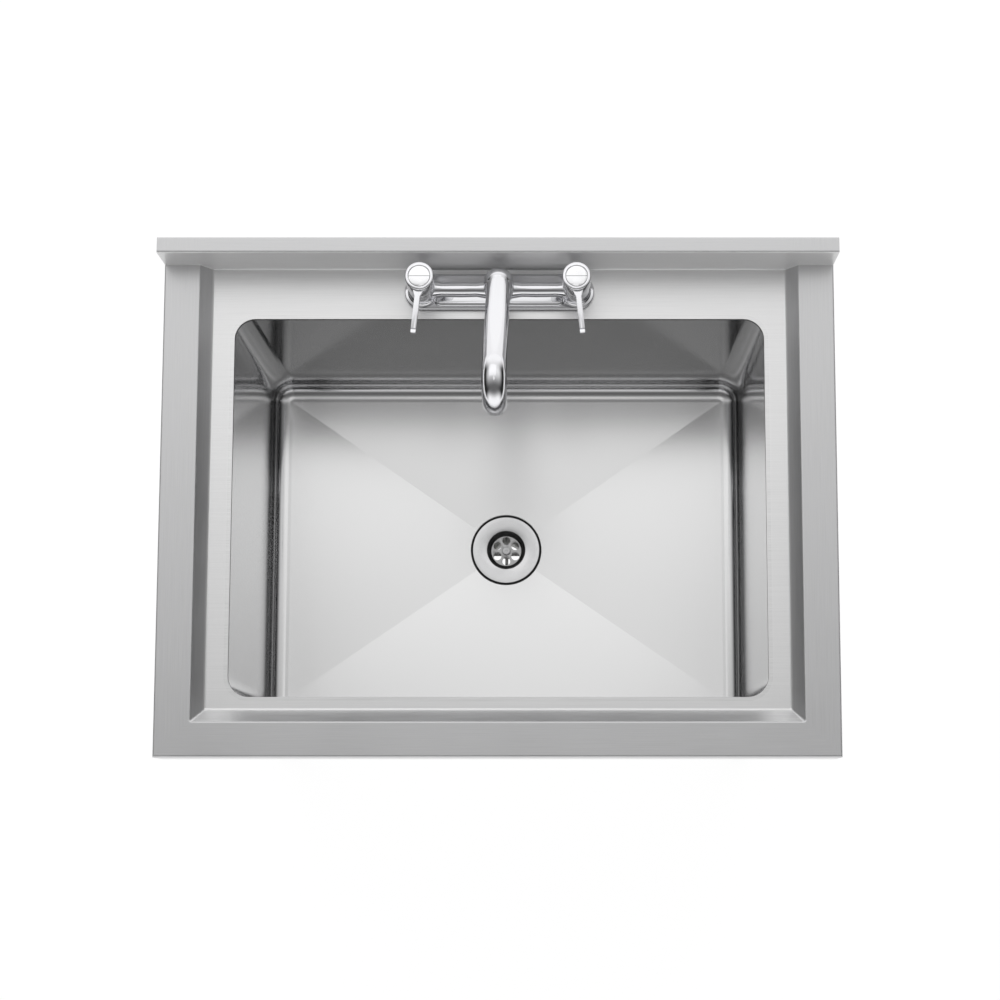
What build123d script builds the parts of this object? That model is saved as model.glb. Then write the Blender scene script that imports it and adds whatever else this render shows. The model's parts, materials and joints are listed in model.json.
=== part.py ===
import os
from math import cos, radians, sin, tan

from build123d import *

# Sink table with a boxed rear upstand, a raised rim, one deep bowl and a two-lever mixer tap.
# Millimetres. The origin is on the floor under the middle of the table, +X is to the right of
# a person who stands at the bowl, +Y is towards the wall, and +Z is up.

# Worktop
table_width = 800
table_depth = 608
rim_height = 850
sheet = 1.5
fold_radius = 2.5
fold_lap = 0.7
mitre_radius = 3
side_rim_width = 42.3
front_rim_width = 41
side_step_run = 13.7
front_step_run = 16
step_drop = 18
upstand_height = 40
upstand_thickness = 19
skirt_height = 50
hem_height = 8

# Bowl
bowl_side_ledge = 26
bowl_front_ledge = 14.5
bowl_rear_ledge = 61.5
bowl_depth = 300
bowl_corner_radius = 25
bowl_floor_radius = 18
bowl_sheet = 1.2
bowl_lip = 5
floor_margin = 4
floor_fall = 9
floor_well_length = 60
floor_well_width = 42

# Legs and lower rails
leg_size = 40
leg_wall = 1.5
leg_corner_radius = 3
leg_gap = 4
front_leg_inset = 60
leg_bottom = 60
socket_plate_size = 70
socket_plate_thickness = 3
socket_length = 60
socket_wall = 2.5
rail_size = 25
rail_wall = 1.5
rail_height = 180
rear_rail_setback = 4.5
rail_bolt_stagger = 5.5
plug_length = 25
fit_clearance = 0.3

# Screws and bolts
socket_screw_radius = 3
socket_screw_head_radius = 5.5
socket_screw_head_height = 3
socket_screw_length = 12
socket_screw_drop = 42
rail_bolt_radius = 4
rail_bolt_head_radius = 7
rail_bolt_head_height = 4
rail_bolt_length = 58
hole_clearance = 0.2

# Adjustable feet
foot_base_radius = 22
foot_base_height = 12
foot_edge_radius = 3
foot_stem_radius = 5
foot_stem_length = 103
insert_flange_height = 4
insert_length = 30
lock_nut_height = 6
lock_nut_radius = 9.2

# Waste
waste_recess_radius = 49
waste_recess_drop = 1
waste_hole_radius = 30
waste_flange_radius = 47
waste_flange_thickness = 1.2
waste_cone_top_radius = 26
waste_plate_radius = 21.3
waste_plate_drop = 10
waste_drain_hole_radius = 5.5
waste_drain_pitch_radius = 14.3
waste_drain_count = 6
waste_top_seal_thickness = 1
waste_bottom_seal_thickness = 2
waste_seal_radius = 43
waste_body_radius = 33
waste_body_wall = 3
waste_body_depth = 34
waste_outlet_radius = 23.9
waste_outlet_bore = 20
waste_outlet_length = 30
waste_taper_depth = 14
waste_boss_radius = 6.5
waste_boss_height = 12
waste_boss_drop = 22
waste_spoke_width = 4
waste_screw_radius = 3
waste_screw_head_radius = 5.5
waste_screw_head_height = 2.4
waste_screw_slot_width = 1.2
waste_screw_slot_depth = 1

# Tap body
tap_setback = 29.4
tap_centres = 184
tap_plate_width = 44
tap_plate_height = 4
tap_gasket_height = 2
tap_gasket_inset = 1.5
plinth_length = 157
plinth_width = 39
plinth_height = 5
plinth_corner_radius = 9
bridge_radius = 8
bridge_height = 11
column_radius = 15.5
column_height = 32
column_bore_radius = 10.5
passage_radius = 3
passage_floor = 9
passage_rise = 4.5
hub_radius = 18
hub_height = 30
hub_bore_radius = 12.5
casting_radius = 1.5

# Tap tails
tail_radius = 10.45
tail_inlet_length = 30
tail_shank_radius = 11
tail_bore_radius = 6
tail_length = 66
tail_thread_depth = 7
deck_hole_radius = 11.5
tail_washer_radius = 17
tail_washer_thickness = 2
tail_nut_radius = 15.6
tail_nut_height = 8
thread_clearance = 0.1

# Valves and handles
cartridge_nose_radius = 8.5
cartridge_nose_length = 8
cartridge_hex_radius = 12.5
cartridge_hex_height = 4
cartridge_neck_radius = 7
cartridge_neck_height = 4
spindle_radius = 4
spindle_clearance = 0.15
spindle_foot = 6
knob_radius = 17
knob_height = 26
knob_gap = 2
knob_skirt_radius = 14
knob_skirt_depth = 8
knob_edge_radius = 1
cap_radius = 12.6
cap_clearance = 0.3
cap_thickness = 2.5
cap_recess_depth = 3
handle_screw_radius = 2
handle_screw_head_radius = 4
handle_screw_head_height = 2.6
handle_screw_length = 10
handle_screw_well_radius = 4.6
handle_screw_well_depth = 4
handle_web = 1
lever_splay = 6
lever_reach = 67
lever_width = 6.3
lever_height = 6.5
lever_drop = 5
lever_neck_width = 12
lever_neck_start = 14
lever_neck_end = 23
lever_edge_radius = 1

# Spout
spout_radius = 14
spout_wall = 1.5
spout_reach = 173
spout_rise_angle = 43
spout_tip_radius = 22
spout_mouth_drop = 8
dome_radius = 17.8
dome_foot_height = 2.5
spout_bore_start = 14
stem_clearance = 0.3
stem_bore_radius = 8.5
stem_end_gap = 8
seal_count = 2
seal_groove_depth = 1.8
seal_groove_width = 2.4
seal_spacing = 4
seal_first_height = 1
seal_clearance = 0.05
glide_ring_radius = 16.5
glide_ring_thickness = 1.5
retaining_groove_depth = 1.5
retaining_groove_height = 3.6
retaining_screw_radius = 1.5
retaining_screw_drop = 2.8
retaining_screw_clearance = 0.3
aerator_thread_length = 7
aerator_ring_height = 4
aerator_ring_radius = 13.6
aerator_bore_radius = 9.5
aerator_insert_height = 8
aerator_hole_radius = 1
aerator_hole_counts = [6, 12]
aerator_hole_rings = [3.2, 6.4]
aerator_washer_thickness = 1.5

# Levels and edges of the worktop
deck_z = rim_height - step_drop
deck_bottom = deck_z - sheet
rim_bottom = rim_height - sheet
upstand_top = rim_height + upstand_height
skirt_bottom = rim_height - skirt_height
half_width = table_width / 2
half_depth = table_depth / 2
splash_y = half_depth - upstand_thickness
rim_inner_x = half_width - side_rim_width
rim_inner_y = front_rim_width - half_depth
deck_edge_x = rim_inner_x - side_step_run
deck_edge_y = rim_inner_y + front_step_run

# Levels and places of the bowl and its waste
bowl_front = deck_edge_y + bowl_front_ledge
bowl_rear = splash_y - bowl_rear_ledge
bowl_y = (bowl_front + bowl_rear) / 2
bowl_width = bowl_rear - bowl_front
bowl_length = 2 * (deck_edge_x - bowl_side_ledge)
floor_z = deck_z - bowl_depth
well_z = floor_z - floor_fall
recess_z = well_z - waste_recess_drop
recess_bottom = recess_z - bowl_sheet
flange_z = recess_z + waste_top_seal_thickness
flange_top = flange_z + waste_flange_thickness
plate_top = flange_top - waste_plate_drop
waste_body_top = recess_bottom - waste_bottom_seal_thickness
waste_cup_bottom = waste_body_top - waste_body_depth
waste_outlet_top = waste_cup_bottom - waste_taper_depth
boss_top = waste_body_top - waste_boss_drop
boss_bottom = boss_top - waste_boss_height

# Places of the legs and rails
leg_x = half_width - sheet - leg_gap - leg_size / 2
rear_leg_y = half_depth - sheet - leg_gap - leg_size / 2
front_leg_y = front_leg_inset - half_depth
leg_ys = {-1: front_leg_y, 1: rear_leg_y}
leg_bore = leg_size - 2 * leg_wall
leg_bore_radius = leg_corner_radius - leg_wall
leg_top = deck_bottom - socket_plate_thickness
leg_face = leg_size / 2
stub_size = leg_bore - 2 * fit_clearance
stub_bore = stub_size - 2 * socket_wall
socket_screw_z = leg_top - socket_screw_drop
rail_bore = rail_size - 2 * rail_wall
plug_size = rail_bore - 2 * fit_clearance
side_bolt_z = rail_height + rail_bolt_stagger
rear_rail_y = rear_leg_y + rear_rail_setback
rear_bolt_z = rail_height - rail_bolt_stagger
corners = {
    "front_left": (-1, -1),
    "front_right": (1, -1),
    "rear_left": (-1, 1),
    "rear_right": (1, 1),
}

# Levels and places of the tap
tap_y = splash_y - tap_setback
tap_half = tap_centres / 2
tap_base = deck_z + tap_gasket_height
plate_z = tap_base + tap_plate_height
column_top = tap_base + column_height
bore_bottom = tap_base + passage_floor
hub_top = tap_base + hub_height
knob_bottom = column_top + knob_gap
knob_top = knob_bottom + knob_height
cap_seat = knob_top - cap_recess_depth
screw_seat = cap_seat - handle_screw_well_depth
spindle_bottom = bore_bottom + spindle_foot
spindle_top = screw_seat - handle_web
stem_radius = hub_bore_radius - stem_clearance
stem_bottom = bore_bottom + stem_end_gap
retaining_z = hub_top - retaining_screw_drop
dome_bottom = hub_top + glide_ring_thickness
dome_centre = dome_bottom + dome_foot_height
mouth_y = tap_y - spout_reach
tap_sides = {"left": -1, "right": 1}


def save(piece, name):
    piece.part.label = name
    export_step(piece.part, f"parts/{name}.step")


def bar_on_x(x, y, z, radius, length, mode=Mode.ADD):
    with Locations((x, y, z)):
        Cylinder(radius, length, rotation=(0, 90, 0), mode=mode)


def bar_on_y(x, y, z, radius, length, mode=Mode.ADD):
    with Locations((x, y, z)):
        Cylinder(radius, length, rotation=(90, 0, 0), mode=mode)


def post(x, y, z, radius, height, mode=Mode.ADD):
    with Locations((x, y, z)):
        Cylinder(radius, height, align=(Align.CENTER, Align.CENTER, Align.MIN), mode=mode)


def block(x_range, y_range, z_range, mode=Mode.ADD):
    low, high = zip(x_range, y_range, z_range)
    length, width, height = (end - start for start, end in zip(low, high))
    with Locations(low):
        Box(length, width, height, align=(Align.MIN, Align.MIN, Align.MIN), mode=mode)


def ring(x, y, z, outer_radius, inner_radius, height):
    post(x, y, z, outer_radius, height)
    post(x, y, z, inner_radius, height, mode=Mode.SUBTRACT)


def tray(grow, low_z, high_z, back_y, fold):
    """The filled shape of the recessed deck and its sloping sides, from low_z up to high_z."""
    low_front = deck_edge_y - grow
    high_front = rim_inner_y - grow
    with BuildPart() as form:
        with BuildSketch(Plane.XY.offset(low_z)) as low_outline:
            with Locations((0, (low_front + back_y) / 2)):
                Rectangle(2 * (deck_edge_x + grow), back_y - low_front)
        with BuildSketch(Plane.XY.offset(high_z)) as high_outline:
            with Locations((0, (high_front + back_y) / 2)):
                Rectangle(2 * (rim_inner_x + grow), back_y - high_front)
        loft([low_outline.sketch, high_outline.sketch])
        sides = form.faces().sort_by(Axis.Z)[1:-1]
        front_mitres = sides.sort_by(Axis.Y)[0].edges().sort_by(Axis.X)
        fillet([front_mitres[0], front_mitres[-1]], mitre_radius + grow)
        fillet(form.faces().sort_by(Axis.Z)[0].edges(), fold)
    return form.part


deck_outside = tray(fold_lap, deck_bottom, rim_bottom, splash_y + sheet, fold_radius + sheet)
deck_inside = tray(0, deck_z, rim_height, splash_y, fold_radius)

# Worktop: one folded sheet with its skirts, rim, sloping step, deck and boxed upstand
with BuildPart() as worktop:
    block((-half_width, half_width), (-half_depth, half_depth), (skirt_bottom, rim_height))
    rim_edges = worktop.faces().sort_by(Axis.Z)[-1].edges()
    rim_folds = rim_edges.filter_by(Axis.Y) + rim_edges.filter_by(Axis.X).sort_by(Axis.Y)[:1]
    fillet(rim_folds, fold_radius)
    block((-half_width, half_width), (splash_y, half_depth), (skirt_bottom, upstand_top))
    upstand_folds = worktop.faces().sort_by(Axis.Z)[-1].edges().filter_by(Axis.X)
    fillet(upstand_folds, fold_radius)
    hollow_x = (sheet - half_width, half_width - sheet)
    hollow_y = (sheet - half_depth, half_depth - sheet)
    block(hollow_x, hollow_y, (skirt_bottom, rim_bottom), mode=Mode.SUBTRACT)
    upstand_y = (splash_y + sheet, half_depth - sheet)
    block(hollow_x, upstand_y, (skirt_bottom, upstand_top - sheet), mode=Mode.SUBTRACT)
    add(deck_outside)
    add(deck_inside, mode=Mode.SUBTRACT)
    step_top = worktop.edges().filter_by_position(Axis.Z, rim_height, rim_height)
    step_folds = step_top.filter_by_position(Axis.X, -rim_inner_x, rim_inner_x)
    fillet(step_folds.filter_by_position(Axis.Y, rim_inner_y, splash_y - sheet), fold_radius)
    block(hollow_x, upstand_y, (skirt_bottom, deck_bottom), mode=Mode.SUBTRACT)
    with BuildSketch(Plane.XY.offset(skirt_bottom)):
        Rectangle(table_width - 2 * sheet, table_depth - 2 * sheet)
        Rectangle(table_width - 4 * sheet, table_depth - 4 * sheet, mode=Mode.SUBTRACT)
    extrude(amount=hem_height)
    with BuildSketch(Plane.XY.offset(deck_bottom)):
        with Locations((0, bowl_y)):
            RectangleRounded(
                bowl_length + 2 * bowl_lip,
                bowl_width + 2 * bowl_lip,
                bowl_corner_radius + bowl_lip,
            )
        with Locations((-tap_half, tap_y), (tap_half, tap_y)):
            Circle(deck_hole_radius)
    extrude(amount=sheet, mode=Mode.SUBTRACT)
save(worktop, "worktop")


# Bowl: pressed sheet with a flush lip, a rounded foot and a floor that falls to the waste
def bowl_form(grow):
    """The filled shape of the bowl: its inside with no growth, its outside with the sheet's."""
    with BuildPart() as form:
        with BuildSketch(Plane.XY.offset(floor_z - grow)):
            with Locations((0, bowl_y)):
                RectangleRounded(
                    bowl_length + 2 * grow,
                    bowl_width + 2 * grow,
                    bowl_corner_radius + grow,
                )
        extrude(amount=bowl_depth + grow)
        fillet(form.faces().sort_by(Axis.Z)[0].edges(), bowl_floor_radius + grow)
        floor_inset = 2 * (bowl_floor_radius + floor_margin)
        with BuildSketch(Plane.XY.offset(floor_z - grow)):
            with Locations((0, bowl_y)):
                Rectangle(bowl_length - floor_inset, bowl_width - floor_inset)
        with BuildSketch(Plane.XY.offset(well_z - grow)):
            with Locations((0, bowl_y)):
                Rectangle(floor_well_length, floor_well_width)
        loft()
        post(0, bowl_y, recess_z - grow, waste_recess_radius + grow, floor_fall)
    return form.part


bowl_outside = bowl_form(bowl_sheet)
bowl_inside = bowl_form(0)
with BuildPart() as bowl:
    add(bowl_outside)
    with BuildSketch(Plane.XY.offset(deck_z - bowl_sheet)):
        with Locations((0, bowl_y)):
            RectangleRounded(
                bowl_length + 2 * bowl_lip,
                bowl_width + 2 * bowl_lip,
                bowl_corner_radius + bowl_lip,
            )
    extrude(amount=bowl_sheet)
    add(bowl_inside, mode=Mode.SUBTRACT)
    post(0, bowl_y, recess_bottom, waste_hole_radius, bowl_sheet, mode=Mode.SUBTRACT)
save(bowl, "bowl")


# Legs: square tubes with holes for the socket screws and the rail bolts
for corner, (side, end) in corners.items():
    x = side * leg_x
    y = leg_ys[end]
    with BuildPart() as leg:
        with BuildSketch(Plane.XY.offset(leg_bottom)):
            with Locations((x, y)):
                RectangleRounded(leg_size, leg_size, leg_corner_radius)
                RectangleRounded(leg_bore, leg_bore, leg_bore_radius, mode=Mode.SUBTRACT)
        extrude(amount=leg_top - leg_bottom)
        screw_hole = socket_screw_radius + hole_clearance
        bolt_hole = rail_bolt_radius + hole_clearance
        bar_on_x(x - side * leg_face, y, socket_screw_z, screw_hole, leg_face, Mode.SUBTRACT)
        bar_on_y(x, y - end * leg_face, socket_screw_z, screw_hole, leg_face, Mode.SUBTRACT)
        bar_on_y(x, y, side_bolt_z, bolt_hole, leg_size, Mode.SUBTRACT)
        if end > 0:
            bar_on_x(x, rear_rail_y, rear_bolt_z, bolt_hole, leg_size, Mode.SUBTRACT)
    save(leg, f"leg_{corner}")

    # Socket: a plate welded under the deck with a square stub that the leg slides over
    with BuildPart() as socket:
        plate_x = sorted([side * (half_width - sheet), side * (half_width - sheet - socket_plate_size)])
        plate_end = y + end * (leg_face + leg_gap)
        plate_y = sorted([plate_end, plate_end - end * socket_plate_size])
        block(plate_x, plate_y, (leg_top, deck_bottom))
        with BuildSketch(Plane.XY.offset(leg_top - socket_length)):
            with Locations((x, y)):
                RectangleRounded(stub_size, stub_size, leg_bore_radius)
                Rectangle(stub_bore, stub_bore, mode=Mode.SUBTRACT)
        extrude(amount=socket_length)
        bar_on_x(x - side * leg_face, y, socket_screw_z, screw_hole, leg_face, Mode.SUBTRACT)
        bar_on_y(x, y - end * leg_face, socket_screw_z, screw_hole, leg_face, Mode.SUBTRACT)
    save(socket, f"leg_socket_{corner}")

    # Insert: a plug in the bottom of the leg that carries the threaded stem of the foot
    with BuildPart() as insert:
        with BuildSketch(Plane.XY.offset(leg_bottom - insert_flange_height)):
            with Locations((x, y)):
                RectangleRounded(leg_size, leg_size, leg_corner_radius)
        extrude(amount=insert_flange_height)
        with BuildSketch(Plane.XY.offset(leg_bottom)):
            with Locations((x, y)):
                RectangleRounded(stub_size, stub_size, leg_bore_radius)
        extrude(amount=insert_length)
        insert_bottom = leg_bottom - insert_flange_height
        insert_height = insert_length + insert_flange_height
        stem_hole = foot_stem_radius + hole_clearance
        post(x, y, insert_bottom, stem_hole, insert_height, mode=Mode.SUBTRACT)
    save(insert, f"foot_insert_{corner}")

    # Foot: a round pad on a threaded stem
    with BuildPart() as foot:
        post(x, y, 0, foot_base_radius, foot_base_height)
        fillet(foot.faces().sort_by(Axis.Z)[-1].edges(), foot_edge_radius)
        post(x, y, foot_base_height, foot_stem_radius, foot_stem_length)
    save(foot, f"foot_{corner}")

with BuildPart() as lock_nuts:
    for side, end in corners.values():
        with BuildSketch(Plane.XY.offset(leg_bottom - insert_flange_height - lock_nut_height)):
            with Locations((side * leg_x, leg_ys[end])):
                RegularPolygon(lock_nut_radius, 6)
                Circle(foot_stem_radius + hole_clearance, mode=Mode.SUBTRACT)
        extrude(amount=lock_nut_height)
save(lock_nuts, "lock_nuts")

with BuildPart() as socket_screws:
    for side, end in corners.values():
        head_gap = leg_face + socket_screw_head_height / 2
        shank_gap = leg_face - socket_screw_length / 2
        x = side * leg_x
        y = leg_ys[end]
        head = socket_screw_head_radius
        shank = socket_screw_radius
        bar_on_x(x - side * head_gap, y, socket_screw_z, head, socket_screw_head_height)
        bar_on_x(x - side * shank_gap, y, socket_screw_z, shank, socket_screw_length)
        bar_on_y(x, y - end * head_gap, socket_screw_z, head, socket_screw_head_height)
        bar_on_y(x, y - end * shank_gap, socket_screw_z, shank, socket_screw_length)
save(socket_screws, "socket_screws")


# Lower rails: two at the sides and one at the rear, each with a threaded plug at both ends.
# The rear rail sits towards the wall, clear of the pipes that come up to the tap's tails.
side_rail_length = rear_leg_y - front_leg_y - leg_size
side_rail_y = (rear_leg_y + front_leg_y) / 2
rear_rail_length = 2 * leg_x - leg_size
for name, side in tap_sides.items():
    with BuildPart() as side_rail:
        with BuildSketch(Plane.XZ.offset(-side_rail_y - side_rail_length / 2)):
            with Locations((side * leg_x, rail_height)):
                Rectangle(rail_size, rail_size)
                Rectangle(rail_bore, rail_bore, mode=Mode.SUBTRACT)
        extrude(amount=side_rail_length)
    save(side_rail, f"rail_{name}")

with BuildPart() as rear_rail:
    with BuildSketch(Plane.YZ.offset(-rear_rail_length / 2)):
        with Locations((rear_rail_y, rail_height)):
            Rectangle(rail_size, rail_size)
            Rectangle(rail_bore, rail_bore, mode=Mode.SUBTRACT)
    extrude(amount=rear_rail_length)
save(rear_rail, "rail_rear")

plug_hole = rail_bolt_radius + hole_clearance
with BuildPart() as rail_plugs:
    for side in tap_sides.values():
        for end in (-1, 1):
            plug_y = side_rail_y + end * (side_rail_length - plug_length) / 2
            with Locations((side * leg_x, plug_y, rail_height)):
                Box(plug_size, plug_length, plug_size)
            bar_on_y(side * leg_x, plug_y, side_bolt_z, plug_hole, plug_length, Mode.SUBTRACT)
        plug_x = side * (rear_rail_length - plug_length) / 2
        with Locations((plug_x, rear_rail_y, rail_height)):
            Box(plug_length, plug_size, plug_size)
        bar_on_x(plug_x, rear_rail_y, rear_bolt_z, plug_hole, plug_length, Mode.SUBTRACT)
save(rail_plugs, "rail_plugs")

with BuildPart() as rail_bolts:
    bolt_head_gap = leg_face + rail_bolt_head_height / 2
    bolt_shank_gap = leg_face - rail_bolt_length / 2
    for side in tap_sides.values():
        for end in (-1, 1):
            head_y = leg_ys[end] + end * bolt_head_gap
            shank_y = leg_ys[end] + end * bolt_shank_gap
            bar_on_y(side * leg_x, head_y, side_bolt_z, rail_bolt_head_radius, rail_bolt_head_height)
            bar_on_y(side * leg_x, shank_y, side_bolt_z, rail_bolt_radius, rail_bolt_length)
        head_x = side * (leg_x + bolt_head_gap)
        shank_x = side * (leg_x + bolt_shank_gap)
        bar_on_x(head_x, rear_rail_y, rear_bolt_z, rail_bolt_head_radius, rail_bolt_head_height)
        bar_on_x(shank_x, rear_rail_y, rear_bolt_z, rail_bolt_radius, rail_bolt_length)
save(rail_bolts, "rail_bolts")


# Waste: flange with a sunk drain plate, centre screw, two seals and the body under the bowl
with BuildPart() as waste_flange:
    with BuildSketch(Plane.XZ.offset(-bowl_y)):
        with BuildLine():
            Polyline(
                (0, plate_top),
                (waste_plate_radius, plate_top),
                (waste_cone_top_radius, flange_top),
                (waste_flange_radius, flange_top),
                (waste_flange_radius, flange_z),
                (waste_cone_top_radius + waste_flange_thickness, flange_z),
                (waste_plate_radius + waste_flange_thickness, plate_top - waste_flange_thickness),
                (0, plate_top - waste_flange_thickness),
                close=True,
            )
        make_face()
    revolve(axis=Axis((0, bowl_y, 0), (0, 0, 1)))
    with BuildSketch(Plane.XY.offset(plate_top)):
        with Locations((0, bowl_y)):
            with PolarLocations(waste_drain_pitch_radius, waste_drain_count, start_angle=90):
                Circle(waste_drain_hole_radius)
            Circle(waste_screw_radius + hole_clearance)
    extrude(amount=-waste_flange_thickness, mode=Mode.SUBTRACT)
save(waste_flange, "waste_flange")

with BuildPart() as waste_screw:
    post(0, bowl_y, plate_top, waste_screw_head_radius, waste_screw_head_height)
    post(0, bowl_y, boss_bottom, waste_screw_radius, plate_top - boss_bottom)
    slot_bottom = plate_top + waste_screw_head_height - waste_screw_slot_depth
    with BuildSketch(Plane.XY.offset(slot_bottom)):
        with Locations((0, bowl_y)):
            Rectangle(2 * waste_screw_head_radius, waste_screw_slot_width)
    extrude(amount=waste_screw_slot_depth, mode=Mode.SUBTRACT)
save(waste_screw, "waste_screw")

with BuildPart() as waste_top_seal:
    ring(0, bowl_y, recess_z, waste_seal_radius, waste_hole_radius, waste_top_seal_thickness)
save(waste_top_seal, "waste_top_seal")

with BuildPart() as waste_bottom_seal:
    ring(0, bowl_y, waste_body_top, waste_seal_radius, waste_hole_radius, waste_bottom_seal_thickness)
save(waste_bottom_seal, "waste_bottom_seal")

with BuildPart() as waste_body:
    cup_bore = waste_body_radius - waste_body_wall
    with BuildSketch(Plane.XZ.offset(-bowl_y)):
        with BuildLine():
            Polyline(
                (cup_bore, waste_body_top),
                (waste_seal_radius, waste_body_top),
                (waste_seal_radius, waste_body_top - waste_body_wall),
                (waste_body_radius, waste_body_top - waste_body_wall),
                (waste_body_radius, waste_cup_bottom),
                (waste_outlet_radius, waste_outlet_top),
                (waste_outlet_radius, waste_outlet_top - waste_outlet_length),
                (waste_outlet_bore, waste_outlet_top - waste_outlet_length),
                (waste_outlet_bore, waste_outlet_top),
                (cup_bore, waste_cup_bottom),
                close=True,
            )
        make_face()
    revolve(axis=Axis((0, bowl_y, 0), (0, 0, 1)))
    post(0, bowl_y, boss_bottom, waste_boss_radius, waste_boss_height)
    spoke_length = 2 * (cup_bore + waste_body_wall / 2)
    with BuildSketch(Plane.XY.offset(boss_bottom)):
        with Locations((0, bowl_y)):
            Rectangle(spoke_length, waste_spoke_width)
            Rectangle(waste_spoke_width, spoke_length)
    extrude(amount=waste_boss_height)
    post(0, bowl_y, boss_bottom, waste_screw_radius + thread_clearance, waste_boss_height, Mode.SUBTRACT)
save(waste_body, "waste_body")


# Tap body: one casting with a deck plate, a low plinth, two columns, a bridge and the hub
with BuildPart() as tap_body:
    with BuildSketch(Plane.XY.offset(tap_base)):
        with Locations((0, tap_y)):
            SlotCenterToCenter(tap_centres, tap_plate_width)
    extrude(amount=tap_plate_height)
    fillet(tap_body.faces().sort_by(Axis.Z)[-1].edges(), casting_radius)
    with BuildSketch(Plane.XY.offset(plate_z)):
        with Locations((0, tap_y)):
            RectangleRounded(plinth_length, plinth_width, plinth_corner_radius)
    extrude(amount=plinth_height)
    fillet(tap_body.faces().sort_by(Axis.Z)[-1].edges(), plinth_height - casting_radius)
    bar_on_x(0, tap_y, tap_base + bridge_height, bridge_radius, tap_centres)
    for side in tap_sides.values():
        post(side * tap_half, tap_y, tap_base, column_radius, column_height)
        column_face = tap_body.faces().filter_by_position(Axis.Z, column_top, column_top)
        fillet(column_face.sort_by(Axis.X)[0 if side < 0 else -1].edges(), casting_radius)
    post(0, tap_y, tap_base, hub_radius, hub_height)
    for side in tap_sides.values():
        x = side * tap_half
        post(x, tap_y, bore_bottom, column_bore_radius, column_top - bore_bottom, Mode.SUBTRACT)
        shank_hole = tail_shank_radius + thread_clearance
        post(x, tap_y, tap_base, shank_hole, tail_thread_depth, Mode.SUBTRACT)
        post(x, tap_y, tap_base, tail_bore_radius, passage_floor, Mode.SUBTRACT)
    post(0, tap_y, bore_bottom, hub_bore_radius, hub_top - bore_bottom, Mode.SUBTRACT)
    bar_on_x(0, tap_y, bore_bottom + passage_rise, passage_radius, tap_centres, Mode.SUBTRACT)
    screw_hole = retaining_screw_radius + thread_clearance
    bar_on_y(0, tap_y + hub_radius, retaining_z, screw_hole, 2 * hub_radius, Mode.SUBTRACT)
save(tap_body, "tap_body")

with BuildPart() as tap_gasket:
    with BuildSketch(Plane.XY.offset(deck_z)):
        with Locations((0, tap_y)):
            SlotCenterToCenter(tap_centres, tap_plate_width - 2 * tap_gasket_inset)
        with Locations((-tap_half, tap_y), (tap_half, tap_y)):
            Circle(deck_hole_radius, mode=Mode.SUBTRACT)
    extrude(amount=tap_gasket_height)
save(tap_gasket, "tap_gasket")

washer_z = deck_bottom - tail_washer_thickness
nut_z = washer_z - tail_nut_height
tail_top = tap_base + tail_thread_depth

with BuildPart() as tail_washers:
    for side in tap_sides.values():
        ring(
            side * tap_half,
            tap_y,
            washer_z,
            tail_washer_radius,
            tail_shank_radius + hole_clearance,
            tail_washer_thickness,
        )
save(tail_washers, "tail_washers")

with BuildPart() as tail_nuts:
    for side in tap_sides.values():
        with BuildSketch(Plane.XY.offset(nut_z)):
            with Locations((side * tap_half, tap_y)):
                RegularPolygon(tail_nut_radius, 6)
                Circle(tail_shank_radius + thread_clearance, mode=Mode.SUBTRACT)
        extrude(amount=tail_nut_height)
save(tail_nuts, "tail_nuts")


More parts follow.
